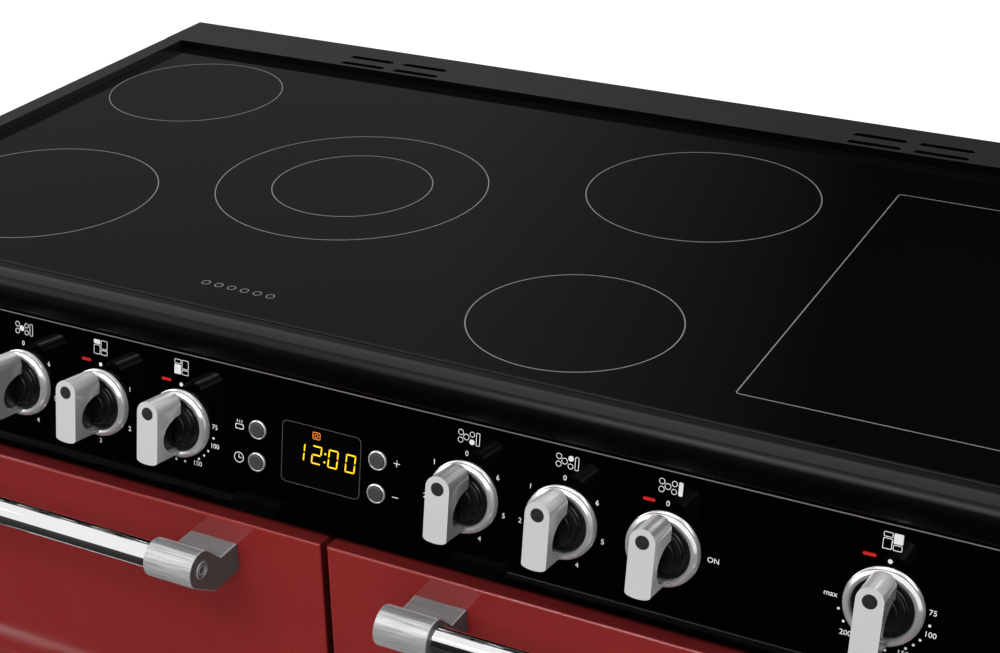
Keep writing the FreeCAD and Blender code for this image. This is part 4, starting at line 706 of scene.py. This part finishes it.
def zone_print():
    """Rings of the cooking zones, the warming rectangle and the residual-heat dots."""
    on_glass = at(0, 0, GLASS_TOP)
    marks = [ink_ring(x, y, radius, ZONE_LINE, lay=on_glass) for x, y, radius in ZONES]
    marks.append(ink_frame(*WARMING_ZONE, ZONE_LINE, (3, 2), 6, lay=on_glass))
    marks += [ink_ring(-137 + 11 * i, -184, 3, 0.7, 24, on_glass) for i in range(6)]
    return joined("zone_print", marks, RING_PRINT)


settle(hob_surround(), "casing", "black_paint", "hob_surround")
settle(rear_trim(), "casing", "black_paint", "rear_vent_trim")
settle(zone_print(), "casing", None)


# ---- fascia

KNOB_LINE = -53.2
KNOB_PLACES = {
    "knob_rear_left": -414.7, "knob_front_left": -343.1, "knob_centre": -271.5,
    "knob_grill": -199.9, "knob_main_oven": -128.3, "knob_front_right": 101.8,
    "knob_rear_right": 173.4, "knob_warming": 245.0, "knob_tall_oven": 388.2,
}
LAMP_KNOBS = ("knob_grill", "knob_main_oven", "knob_warming", "knob_tall_oven")
BUTTON_PLACES = {
    "button_mode": (-62.6, -43.5), "button_timer": (-62.6, -67.8),
    "button_plus": (34.6, -43.5), "button_minus": (34.6, -67.8),
}
WINDOW = (-42.2, 21.0, -76.2, -31.0)
FASCIA_HALF, FASCIA_LENGTH = HALF - 1, 108.0


def lamp_slot(name, grow):
    return obround(KNOB_PLACES[name] - 12.9, KNOB_LINE + 30.5, 9 + 2 * grow, 2.6 + 2 * grow)


def window(grow, radius):
    u0, u1, v0, v1 = WINDOW
    return rounded_box(u0 - grow, u1 + grow, v0 - grow, v1 + grow, radius)


def fascia_glass():
    holes = [circle(u, KNOB_LINE, 6, 32) for u in KNOB_PLACES.values()]
    holes += [circle(u, v, 5.9, 32) for u, v in BUTTON_PLACES.values()]
    holes += [lamp_slot(name, 0.1) for name in LAMP_KNOBS]
    holes.append(window(0, 4))
    outline = box(-FASCIA_HALF, FASCIA_HALF, -FASCIA_LENGTH, 0)
    return finished("fascia_glass", plate(outline, holes, -4, 0, ON_FASCIA), FASCIA_GLASS)


settle(fascia_glass(), "casing", "fascia_glass", "fascia_panel")
# painted highlight: a thin bright strip along the top of the fascia, where the glass edge catches
# light
settle(joined("fascia_edge", [inked(box(-FASCIA_HALF, FASCIA_HALF, -1.0, -0.1))], EDGE_PAINTED_HIGHLIGHT),
       "casing", None)


def zone_map(u, lit):
    """Small map of the hob: five rings and the warming bar, with one of them filled."""
    spots = [(-5.3, 2.7, 2.05), (-5.3, -2.7, 2.05), (-1.2, 0, 2.2), (3.2, -2.7, 1.95),
             (3.2, 2.7, 1.95)]
    marks = []
    for i, (du, dv, radius) in enumerate(spots):
        if i == lit:
            marks.append(inked(circle(u + du, ICON_LINE + dv, radius, 24)))
        else:
            marks.append(ink_ring(u + du, ICON_LINE + dv, radius - 0.2, ICON_PEN, 24))
    marks.append(ink_frame(u + 6.1, u + 9.0, ICON_LINE - 4.7, ICON_LINE + 4.7, ICON_PEN,
                           (0.8, 0.5), filled=lit == 5))
    return marks


def oven_map(u, lit):
    """Small map of the two columns: grill, main oven, right oven and drawer."""
    boxes = [(-6.1, -0.3, 2.2, 5.6), (-6.1, -0.3, -5.6, 1.6), (0.3, 6.1, -1.2, 5.6),
             (0.3, 6.1, -5.6, -1.8)]
    return [ink_frame(u + u0, u + u1, ICON_LINE + v0, ICON_LINE + v1, ICON_PEN, (0.7, 0.4),
                      filled=i == lit) for i, (u0, u1, v0, v1) in enumerate(boxes)]


MARK_RADIUS, DOT_RADIUS = 30.5, 29.0
MARK_SIZE = 5.2
ICON_LINE, ICON_PEN = -11.2, 0.45
HOB_DIALS = {"knob_rear_left": 0, "knob_front_left": 1, "knob_centre": 2,
             "knob_front_right": 3, "knob_rear_right": 4}
OVEN_DIALS = {"knob_main_oven": 1, "knob_tall_oven": 2}
# text, degrees clockwise from the top, and a nudge aside
OVEN_MARKS = (("75", 84.4, -0.9), ("100", 112, 1.3), ("150", 157, 3), ("200", 217, -3),
              ("max", 268, -3))
OVEN_DOTS = (101, 124, 135, 146, 172, 187, 202, 234, 251)


def round_dial(u, clockwise, radius):
    """The place on a dial at so many degrees clockwise from the top."""
    angle = math.radians(90 - clockwise)
    return u + radius * math.cos(angle), KNOB_LINE + radius * math.sin(angle)


def dial_mark(u, text, clockwise):
    return lettering(text, MARK_SIZE, *round_dial(u, clockwise, MARK_RADIUS))


def dial_dot(u, clockwise, radius=0.9):
    return inked(circle(*round_dial(u, clockwise, DOT_RADIUS), radius, 20))


def dial_print():
    """White print round the knobs and beside the clock's buttons."""
    marks = []
    for name, lit in HOB_DIALS.items():
        u = KNOB_PLACES[name]
        marks += [dial_mark(u, str(number), -number * 51.43) for number in range(7)]
        marks += zone_map(u, lit)
    u = KNOB_PLACES["knob_warming"]
    marks += [dial_mark(u, "0", 0), dial_mark(u + 3, "ON", 90)] + zone_map(u, 5)
    u = KNOB_PLACES["knob_grill"]
    marks += [dial_dot(u, 0, 1.5)] + [dial_mark(u, str(i), 60 * i) for i in range(1, 5)]
    marks += oven_map(u, 0)
    for name, lit in OVEN_DIALS.items():
        u = KNOB_PLACES[name]
        marks.append(dial_dot(u, 0, 1.5))
        marks += [dial_mark(u + aside, text, angle) for text, angle, aside in OVEN_MARKS]
        marks += [dial_dot(u, angle) for angle in OVEN_DOTS]
        marks += oven_map(u, lit)
    # plus and minus beside their buttons
    marks += [ink_bar(49.5, -42.5, 2.4, 0.26), ink_bar(49.5, -67.2, 2.4, 0.26),
              ink_bar(49.5, -42.5, 0.26, 2.4)]
    # clock sign: a dial with two hands; cooking sign: a pot with steam
    marks.append(ink_ring(-78, -67.8, 3.8, 0.6, 32))
    marks.append(inked([(-78.3, -68.1), (-75.6, -68.1), (-75.6, -67.5), (-77.7, -67.5),
                        (-77.7, -65.2), (-78.3, -65.2)]))
    marks.append(ink_frame(-81.5, -74.5, -46.5, -42.5, 0.6, (1, 0.6)))
    marks += [ink_bar(u, -40.5, 0.25, 1.1) for u in (-80, -78, -76)]
    return joined("dial_print", marks, WHITE_PRINT)


settle(dial_print(), "casing", None)

FIGURE_LINE, FIGURE_HIGH, FIGURE_WIDE = -58.2, 13.8, 8
FIGURE_LEAN = 0.08
FIGURES = (("1", -32.1), ("2", -18.5), ("0", -5.2), ("0", 8.7))
SEGMENTS_LIT = {"0": "abcdef", "1": "bc", "2": "abged"}


def digit(text, u):
    """A seven-segment digit; u is its left edge."""
    bar, gap, high, wide = 1.05, 0.45, FIGURE_HIGH, FIGURE_WIDE
    half = high / 2
    top = [(gap, high), (wide - gap, high), (wide - bar, high - bar), (bar, high - bar)]
    left = [(0, high - gap), (0, half + gap), (bar, half + bar / 2 + gap), (bar, high - bar - gap)]
    low_left = [(x, high - y) for x, y in left]
    segments = {
        "a": top, "d": [(x, high - y) for x, y in top],
        "f": left, "b": [(wide - x, y) for x, y in left],
        "e": low_left, "c": [(wide - x, y) for x, y in low_left],
        "g": [(bar, half - bar / 2), (wide - bar, half - bar / 2), (wide - gap - 0.4, half),
              (wide - bar, half + bar / 2), (bar, half + bar / 2), (gap + 0.4, half)],
    }
    return [inked([(u + x + y * FIGURE_LEAN, FIGURE_LINE + y) for x, y in segments[key]])
            for key in SEGMENTS_LIT[text]]


def clock_display():
    """Dark lens with amber digits, a small orange sign, and a thin grey line round the window that
    is a painted highlight of its edge.
    """
    lens = plate(window(-0.2, 4), [], -2.5, 0, ON_FASCIA)
    settle(finished("clock_lens", lens, LENS), "casing", "display_lens")
    # painted highlight: a thin grey line all round the window's edge
    rim = inked(window(0.3, 4.3), [window(-0.15, 3.9)])
    settle(joined("clock_rim", [rim], RIM_PAINTED_HIGHLIGHT), "casing", None)
    figures = []
    for text, u in FIGURES:
        figures += digit(text, u)
    for v in (-55, -48.8):
        figures.append(inked(circle(-7.7 + (v + 58.5) * FIGURE_LEAN, v, 0.8, 20)))
    settle(joined("clock_figures", figures, AMBER), "casing", None)
    sign = [ink_frame(-17.6, -11.4, -39.9, -34.5, 0.5, (1, 0.7)),
            ink_ring(-14.5, -37.2, 1.3, 0.45, 20)]
    settle(joined("clock_sign", sign, ORANGE), "casing", None)


clock_display()
settle(joined("indicator_lamps", [prism(lamp_slot(name, -0.3), -4, 0.2, ON_FASCIA)
                                  for name in LAMP_KNOBS], RED_LAMP),
       "casing", "display_lens", "fascia_lenses")


def rings():
    """Turned rings round the knobs and rims round the clock's buttons."""
    radius, bore, high = 25.2, 19.7, 6.5
    profile = ([(bore, 0), (radius, 0), (radius, 0.9), (radius - 0.6, 1.2), (radius - 0.6, 1.6),
                (radius, 1.9), (radius, 2.5), (radius - 0.5, 2.8), (radius - 0.5, 3.1)]
               + arc(radius - 2.2, high - 3.0, 2.0, 0, 62, 6)
               + arc(radius - 3.4, high - 2.2, 2.2, 62, 90, 4)
               + [(bore + 1.3, high - 0.1), (bore + 0.6, high - 0.5), (bore, high - 1.4)])
    rim = [(5.9, 0), (7.1, 0), (7.1, 0.8), (6.8, 1.3), (6.3, 1.5), (5.9, 1.3)]
    parts = [turned(profile, ON_FASCIA @ at(u, KNOB_LINE, 0), 72, closed=True)
             for u in KNOB_PLACES.values()]
    parts += [turned(rim, ON_FASCIA @ at(u, v, 0), 40, closed=True)
              for u, v in BUTTON_PLACES.values()]
    return joined("knob_rings", parts, RING_METAL, 40)


settle(rings(), "casing", "chrome", "knob_bezels")

BUTTON_PROFILE = [(0, 2.4), (4.7, 2.4), (5.1, 2.3), (5.4, 2.0), (5.6, 1.3), (5.6, -6.3),
                  (4.6, -6.8), (0, -6.8)]
for name, (u, v) in BUTTON_PLACES.items():
    cap = turned(BUTTON_PROFILE, ON_FASCIA @ at(u, v, 0), 40)
    settle(finished(name + "_cap", cap, BUTTON_METAL), name + "_body", "button_metal", name)

HUB_PROFILE = [(0, 7.4), (14.2, 7.4), (14.6, 7.0), (15.0, 4.6), (15.6, 4.2), (18.2, 4.2),
               (19.0, 3.6), (19.2, 3.0), (19.2, 0.6), (3, 0.6), (3, -30), (0, -30)]
WEB_HALF = 1.7
GRIP_BACK, GRIP_FRONT = 12.5, 39.5
GRIP_TOP, GRIP_FOOT, GRIP_HALF = 27.5, 19.5, 8.7
ARCH_LIFT, ARCH_TALL, ARCH_DEEP = -2.0, 14.0, 19.6


def arch(inset, start, end, steps):
    """Arch under the grip, a half ellipse in the knob's side view."""
    return [(ARCH_LIFT + (ARCH_TALL - inset) * u, GRIP_BACK + (ARCH_DEEP - inset) * v)
            for u, v in arc(0, 0, 1, start, end, steps)]


def shared_solid(first, second):
    """What two solids have in common, with its sharp edges softened."""
    holders = []
    for builder in (first, second):
        bmesh.ops.recalc_face_normals(builder, faces=builder.faces)
        holders.append(placed("solid", mesh_of("solid", builder)))
    boolean(holders[0], "INTERSECT", holders[1])
    bevel = holders[0].modifiers.new("edge", "BEVEL")
    bevel.width = 1.2
    bevel.segments = 3
    bevel.limit_method = "ANGLE"
    bevel.angle_limit = math.radians(50)
    result = bmesh.new()
    result.from_mesh(final_mesh(holders[0]))
    for holder in holders:
        bpy.data.objects.remove(holder)
    return result


def grip_solid(across, lay):
    """Side view with its arch, extruded across, then trimmed to the round-topped front view."""
    side = [(-GRIP_FOOT, GRIP_FRONT), (-GRIP_FOOT + 1.2, GRIP_BACK)]
    side += arch(0, 180, 0, 40)
    side += [(GRIP_TOP, GRIP_BACK), (GRIP_TOP, GRIP_FRONT)]
    body = prism(side, -GRIP_HALF, GRIP_HALF, across)
    inward = across.inverted()

    def on_arch(edge):
        spots = [inward @ v.co for v in edge.verts]
        return all(abs(math.hypot((p.x - ARCH_LIFT) / ARCH_TALL,
                                  (p.y - GRIP_BACK) / ARCH_DEEP) - 1) < 0.002
                   and p.y > GRIP_BACK + 0.5 for p in spots)

    soften(body, 1.8, 1, 60, on_arch)
    front = (arc(0, GRIP_TOP - GRIP_HALF, GRIP_HALF, 0, 180, 28)
             + arc(-GRIP_HALF + 1.8, 3.2 - GRIP_FOOT, 1.8, 180, 245, 5)
             + arc(0, 25 - GRIP_FOOT, 25, 256, 284, 10)
             + arc(GRIP_HALF - 1.8, 3.2 - GRIP_FOOT, 1.8, 295, 360, 5))
    return shared_solid(body, prism(front, GRIP_BACK - 2, GRIP_FRONT + 2, lay))


def knob(name, u):
    """Black hub and web, bright grip that bridges the web, and the pointer dot."""
    lay = ON_FASCIA @ at(u, KNOB_LINE, 0)
    lands = []
    for turn in (math.pi, 0):
        half = lay @ Matrix.Rotation(turn, 4, "Z")
        land = prism(arc(0, 0, 14.0, -79, 79, 30), 7.2, 9.4, half)
        soften(land, 0.7, 2, 50)
        step = prism(arc(0, 0, 11.0, -76, 76, 24), 9.2, 11.8, half)
        soften(step, 0.8, 3, 50)
        lands += [land, step]
    # side view of the web between hub and grip, extruded along the knob's own X
    across = lay @ ALONG_X
    web = prism([(ARCH_LIFT - ARCH_TALL + 0.1, GRIP_BACK), (-12, 7.2), (12, 7.2)]
                + arch(0.1, 0, 180, 28), -WEB_HALF, WEB_HALF, across)
    soften(web, 0.4)
    hub = joined(name + "_hub", [turned(HUB_PROFILE, lay), web] + lands, KNOB_BLACK, 30)
    settle(hub, name + "_body", "knob_chrome", name)
    outward = (lay.to_3x3() @ Vector((0, 0, 1))).normalized()

    # Faces that get the painted highlight: the bevels round the grip's front face, and faces turned
    # partly aside and back.
    def on_edge(face):
        front, aside = face.normal.dot(outward), abs(face.normal.x)
        return 0.12 < front <= 0.995 or (0.3 < aside < 0.95 and front < -0.05)

    grip = finished(name + "_grip", grip_solid(across, lay), GRIP_PAINTED_STREAKS, 22)
    settle(repainted(grip, (GRIP_FACE, lambda face: face.normal.dot(outward) > 0.995),
                     (GRIP_PAINTED_HIGHLIGHT, on_edge)), name + "_body", "knob_chrome")
    dot = turned([(0, GRIP_FRONT + 0.05), (4.6, GRIP_FRONT + 0.05), (4.9, GRIP_FRONT - 0.1),
                  (4.9, GRIP_FRONT - 1), (0, GRIP_FRONT - 1)], lay @ at(0, GRIP_TOP - 8.9, 0), 32)
    settle(finished(name + "_dot", dot, DOT_BLACK), name + "_body", "knob_chrome")


for name, u in KNOB_PLACES.items():
    knob(name, u)


# ---- doors and handles

SKIN_DEPTH = 20.0
SKIN_RADIUS = 2.2
PANE_MARGINS = (70, 90, 105)      # sides, below and above a door's window


def hinge_cuts(low, high, hinge):
    """Slots for the hinge plates: in the bottom wall, or in the right wall of a side-hung door."""
    cuts = []
    for near, far in ((3, 9.5), (-9.5, -3)):
        if hinge == "bottom":
            edge = low.x if near > 0 else high.x
            span = box(edge + near, edge + far, low.z - 1, low.z + 2.5)
        else:
            edge = low.z if near > 0 else high.z
            span = box(high.x - 2.5, high.x + 1, edge + near, edge + far)
        cuts.append(prism(span, 239.5, 255.5, FACING_FRONT))
    return cuts


def door_skin(name, body, has_window, hinge):
    """Pressed front: open tray with rounded front edges and, for an oven, a window."""
    low, high = corners(name)
    shell = prism(box(low.x, high.x, low.z, high.z), -DOOR_FACE - SKIN_DEPTH, -DOOR_FACE,
                  FACING_FRONT)

    def lies_at(y, item):
        return all(abs(v.co.y - y) < 0.01 for v in item.verts)

    soften(shell, SKIN_RADIUS, 6, keep=lambda edge: lies_at(DOOR_FACE, edge))
    backs = [face for face in shell.faces if lies_at(DOOR_FACE + SKIN_DEPTH, face)]
    bmesh.ops.delete(shell, geom=backs, context="FACES_ONLY")
    bmesh.ops.recalc_face_normals(shell, faces=shell.faces)
    # The door's side and top faces get the darker red, a painted shade.
    piece = repainted(finished(name + "_shell", shell, RED_ENAMEL, 50), (
        RED_PAINTED_SHADE, lambda face: abs(face.normal.x) > 0.95 or face.normal.z > 0.95))
    piece.modifiers.new("sheet", "SOLIDIFY").thickness = SHEET * MM
    piece.modifiers["sheet"].offset = -1
    cuts = hinge_cuts(low, high, hinge) if hinge else []
    if has_window:
        side, below, above = PANE_MARGINS
        pane = rounded_box(low.x + side, high.x - side, low.z + below, high.z - above, 14, 10)
        cuts.append(prism(pane, -DOOR_FACE - 6, -DOOR_FACE + 6, FACING_FRONT))
    if cuts:
        cutter = joined("cutter", cuts, RED_ENAMEL)
        boolean(piece, "DIFFERENCE", cutter)
        applied(piece)
        bpy.data.objects.remove(cutter)
    piece.modifiers.new("weigh", "WEIGHTED_NORMAL").keep_sharp = True
    settle(applied(piece), body, "red_enamel", name)


BAR_RADIUS = 10.0
SLEEVE = 14.0
BRACKET_WIDTH = 40.0
STUD_PROFILE = [(0, -1.2), (2.7, -1.2), (2.7, 0.5), (3.3, 0.8), (4.0, 0.8), (4.2, 0.1),
                (5.0, 0.1), (5.3, 0.9), (6.2, 0.9), (6.6, 0.5), (6.6, -1.6), (0, -1.6)]


def bracket_outline(axis_y, axis_z):
    """Side view of a bracket: arm from the door, notch, and round sleeve round the bar."""
    reach = SLEEVE * math.cos(math.radians(45))
    top = axis_z - 3
    low = axis_z - 26
    return ([(DOOR_FACE, low), (DOOR_FACE, top), (axis_y + 2 * reach + 3, top)]
            + arc(axis_y, axis_z, SLEEVE, 45, 225, 40)
            + arc(DOOR_FACE - 28, low + 5.5, 5.5, 225, 270, 6))


def handle(name, body):
    low, high = corners(name)
    axis_y = low.y + SLEEVE
    axis_z = high.z - SLEEVE
    left, right = low.x + 1, high.x - 1
    parts = []
    for start, outward in ((left, -1), (right - BRACKET_WIDTH, 1)):
        end = start + BRACKET_WIDTH
        bracket = prism(bracket_outline(axis_y, axis_z), start, end, ALONG_X)
        soften(bracket, 1.0, 3, 40)
        turn = Matrix.Rotation(math.pi / 2 * outward, 4, "Y")
        face = at(start if outward < 0 else end, axis_y, axis_z)
        parts += [bracket, turned(STUD_PROFILE, face @ turn, 40)]
    # Flat tops and end faces get the darker steel, a painted shade.
    steel = repainted(joined(name + "_brackets", parts, BRACKET_STEEL, 35),
                      (BRACKET_TOP_PAINTED_SHADE, lambda face: face.normal.z > 0.98),
                      (BRACKET_END_PAINTED_SHADE, lambda face: abs(face.normal.x) > 0.9))
    settle(steel, body, "handle_steel", name)
    inner = BRACKET_WIDTH - 0.5
    length = (right - inner) - (left + inner)
    bar = turned([(0, 0), (BAR_RADIUS, 0), (BAR_RADIUS, length), (0, length)],
                 at(left + inner, axis_y, axis_z) @ Matrix.Rotation(math.pi / 2, 4, "Y"), 64)
    settle(finished(name + "_bar", bar, CHROME, 40), body, "handle_steel")


FRONTS = (
    # start of the nodes' names, body, window, hinge
    ("grill_door", "grill_door", False, "bottom"), ("main_door", "main_door", True, "bottom"),
    ("tall_door", "tall_door", True, "side"), ("drawer", "storage_drawer", False, None),
)
for prefix, body, has_window, hinge in FRONTS:
    door_skin(prefix + "_skin", body, has_window, hinge)
for prefix, body, _, _ in FRONTS:
    handle(prefix + "_handle", body)


# ---- shelves, fixings and vents

SHELF_HALF = 208.5
SHELF_FRONT, SHELF_DEPTH = -199.5, 328.0
COLUMN = 249.6                    # middle of a column, from the cooker's middle
SHELF_LEVELS = [(-COLUMN, 308.3), (COLUMN, 526.6)]


def shelves():
    parts = []
    for x, z in SHELF_LEVELS:
        piece = grown(placed("shelf", bpy.data.meshes.new("shelf")), RACK, {
            "Width": 2 * SHELF_HALF * MM, "Depth": (SHELF_DEPTH - 6) * MM, "Wires": 17,
            "Wire Radius": 1.5 * MM, "Rod Radius": 3 * MM,
            "Centre": (x * MM, (SHELF_FRONT + SHELF_DEPTH / 2) * MM, z * MM), "Material": CHROME})
        part = bmesh.new()
        part.from_mesh(piece.data)
        part.transform(Matrix.Scale(1 / MM, 4))
        bpy.data.objects.remove(piece)
        parts.append(part)
    return joined("oven_racks", parts, CHROME, 50)


settle(shelves(), "casing", "bright_wire", "oven_shelves")


def screw():
    """Pan-headed screw with a cross recess; its seat is at zero."""
    arm = [(0.5, 2.0), (0.5, 0.5), (2.0, 0.5), (2.0, -0.5)]
    cross = arm[1:] + [(y, -x) for x, y in arm[1:]] + [(-x, -y) for x, y in arm[1:]]
    cross += [(-y, x) for x, y in arm[1:]]
    head = turned([(0, 0), (3.8, 0), (3.8, 0.6), (3.5, 1.2), (3.0, 1.6), (3.0, 0.7), (0, 0.7)],
                  steps=20)
    return joined("screw", [plate(circle(0, 0, 3.0, 20), [cross], 0.7, 1.9), head], ZINC, 50)


def louvre():
    """Pressed hood over a vent slot, closed above and open below."""
    over = [(-6.6, 0), (-5.2, 2.0), (-3.0, 3.0), (4.6, 3.3)]
    hood = [prism(over + [(4.6, 2.6), (-2.6, 2.3), (-4.3, 1.4), (-5.4, 0)], -77, 77, ALONG_X)]
    hood += [prism(over + [(4.6, 0)], low, low + 0.6, ALONG_X) for low in (-77.6, 77)]
    return joined("louvre", hood, ZINC, 50)


REAR_FACE, PLINTH_FACE, FAN_COVER_FACE, INNER_DOOR_FACE = 294.0, -203.5, 134.5, -222.5
ANY_TURN = 6.28                   # a screw stops at any angle
TO_REAR, TO_FRONT = (0, 1, 0), (0, -1, 0)


def fixings():
    """Screws on the back, plinth, fan covers and inner doors, and the vent hoods."""
    head = screw()
    rear = [(x, REAR_FACE, z) for x in (-486, -320, -160, 0, 160, 320, 486) for z in (100, 848)]
    rear += [(x, REAR_FACE, z) for x in (-486, 486) for z in (250, 400, 550, 700)]
    front = [(x, PLINTH_FACE, z) for x in (-470, 470) for z in (30, 72)]
    front += [(COLUMN * side + x, FAN_COVER_FACE, z)
              for side, z0, z1 in ((-1, 172, 473), (1, 407, 693))
              for x in (-167, 167) for z in (z0 + 13, z1 - 13)]
    settle(scattered("back_screws", head, rear, TO_REAR, ZINC, ANY_TURN), "casing",
           "galvanised_steel")
    settle(scattered("front_screws", head, front, TO_FRONT, ZINC, ANY_TURN), "casing",
           "galvanised_steel")
    for body, low_x, high_x, levels in (("grill_door", -478.5, -20.8, (600, 655, 710)),
                                        ("main_door", -478.5, -20.8, (150, 260, 370, 480)),
                                        ("tall_door", 20.8, 478.5, (400, 500, 590, 680))):
        spots = [(x, INNER_DOOR_FACE, z) for x in (low_x, high_x) for z in levels]
        settle(scattered(body + "_screws", head, spots, TO_REAR, ZINC, ANY_TURN), body,
               "galvanised_steel")
    bpy.data.objects.remove(head)
    hood = louvre()
    slots = [(COLUMN * side, REAR_FACE, 210 + 30 * row) for side in (-1, 1) for row in range(7)]
    settle(scattered("vent_hoods", hood, slots, TO_REAR, ZINC), "casing", "galvanised_steel")
    bpy.data.objects.remove(hood)


fixings()


# ---- studio

WHITE = (1, 1, 1, 1)
ROOM_LEVEL = 0.35
REAR_LEFT, REAR_RIGHT = 0.115, 0.7     # how bright reflections are behind the cooker
FLOOR_SHADE, FLOOR_GLOW = (0.8, 0.8, 0.8), 0.6

FLAGS = [
    # name and corners, mm: a dark cloth on the floor in front, and a dark card beyond it
    ("front_cloth", [(-9000, -9000, 3), (9000, -9000, 3), (9000, -330, 3), (-9000, -330, 3)]),
    ("front_card", [(-2000, -3300, 4), (4000, -3300, 4), (4000, -3300, 2500),
                    (-2000, -3300, 2500)]),
]
LIGHTS = [
    # name, place, aim, size, watts
    ("overhead", (0.2, -0.4, 3.4), (0, 0, 0.8), (3.6, 2.6), 75),
    ("left_window", (-3.4, -1.6, 2.4), (0, 0, 0.8), (1.8, 2.0), 40),
    ("front_strip", (-0.6, -2.6, 3.6), (0.3, -0.24, 0.88), (1.7, 0.5), 44),
    ("front_fill", (1.4, -3.6, 2.6), (0, 0, 0.7), (2.8, 1.2), 40),
]
CAMERA_PLACE = (0.6141, -1.1675, 1.4597)
CAMERA_ANGLES = (27.534, 26.43, -0.909)     # azimuth, elevation and roll, degrees
CAMERA_LENS, SENSOR_WIDTH = 67.06, 36


def pale_floor():
    """Pale paint that keeps shadows, and looks nearly white to a camera or in a reflection."""
    material, tree, shader = blank("pale_floor", FLOOR_SHADE, 0.9, Emission__Color=WHITE)
    path = add(tree, "ShaderNodeLightPath")
    seen = path["Is Camera Ray"]
    for kind in ("Is Glossy Ray", "Is Transmission Ray"):
        seen = maths(tree, "MAXIMUM", seen, path[kind])
    fill(tree, shader, {"Emission__Strength": maths(tree, "MULTIPLY", seen, FLOOR_GLOW)})
    return material


def studio():
    """Pale floor, soft boxes, and dark flags that only reflections see."""
    floor = bmesh.new()
    bmesh.ops.create_grid(floor, x_segments=1, y_segments=1, size=9000)
    finished("floor", floor, pale_floor())
    for name, place, aim, size, power in LIGHTS:
        lamp = bpy.data.lights.new(name, "AREA")
        lamp.shape = "RECTANGLE"
        lamp.size, lamp.size_y = size
        lamp.energy = power
        holder = placed(name, lamp)
        holder.location = place
        direction = Vector(aim) - Vector(place)
        holder.rotation_euler = direction.to_track_quat("-Z", "Y").to_euler()
        holder.visible_glossy = name != "overhead"
    cloth = moulded("flag_cloth", (0.004, 0.004, 0.004), 0.95, 400, 0.1)
    for name, spots in FLAGS:
        card = bmesh.new()
        card.faces.new([card.verts.new(spot) for spot in spots])
        flag = finished(name, card, cloth)
        flag.visible_camera = False
        flag.visible_diffuse = False
        flag.visible_shadow = False
        flag.visible_transmission = False


def backdrop():
    """White where it is seen directly; in reflections white in front and above, dim behind."""
    world = bpy.data.worlds.new("studio")
    bpy.context.scene.world = world
    world.use_nodes = True
    sky = world.node_tree
    room = sky.nodes["Background"]
    fill(sky, room, {"Color": WHITE, "Strength": ROOM_LEVEL})
    way = add(sky, "ShaderNodeSeparateXYZ", _0=add(sky, "ShaderNodeTexCoord")["Generated"])
    sides = maths(sky, "ADD", ramp(sky, way["X"], REAR_LEFT, 0, -0.45, -0.25),
                  ramp(sky, way["X"], 0, REAR_RIGHT, 0.05, 0.45))
    behind = add(sky, "ShaderNodeBackground", Color=WHITE, Strength=sides)[0]
    white = add(sky, "ShaderNodeBackground", Color=WHITE, Strength=1.0)[0]

    def mixed(share, first, second):
        return add(sky, "ShaderNodeMixShader", _0=share, _1=first, _2=second)[0]

    slope = maths(sky, "SUBTRACT", way["Z"], way["Y"])
    around = mixed(ramp(sky, slope, 0, 1, -0.12, 0.02), behind, white)
    path = add(sky, "ShaderNodeLightPath")
    reflected = mixed(path["Is Glossy Ray"], room.outputs[0], around)
    direct = maths(sky, "MAXIMUM", path["Is Camera Ray"], path["Is Transmission Ray"])
    fill(sky, sky.nodes["World Output"], {"Surface": mixed(direct, reflected, white)})


def camera():
    eye = bpy.data.cameras.new("camera")
    eye.lens = CAMERA_LENS
    eye.sensor_width = SENSOR_WIDTH
    eye.clip_end = 100
    holder = placed("camera", eye)
    azimuth, elevation, roll = (math.radians(a) for a in CAMERA_ANGLES)
    back = Vector((math.sin(azimuth) * math.cos(elevation),
                   -math.cos(azimuth) * math.cos(elevation), math.sin(elevation)))
    right = Vector((math.cos(azimuth), math.sin(azimuth), 0))
    up = back.cross(right)
    rolled_right = right * math.cos(roll) + up * math.sin(roll)
    rolled_up = up * math.cos(roll) - right * math.sin(roll)
    turn = Matrix((rolled_right, rolled_up, back)).transposed()
    holder.matrix_world = Matrix.Translation(CAMERA_PLACE) @ turn.to_4x4()
    bpy.context.scene.camera = holder


studio()
backdrop()
camera()
bpy.context.scene.view_settings.view_transform = "Standard"

bpy.context.view_layer.update()
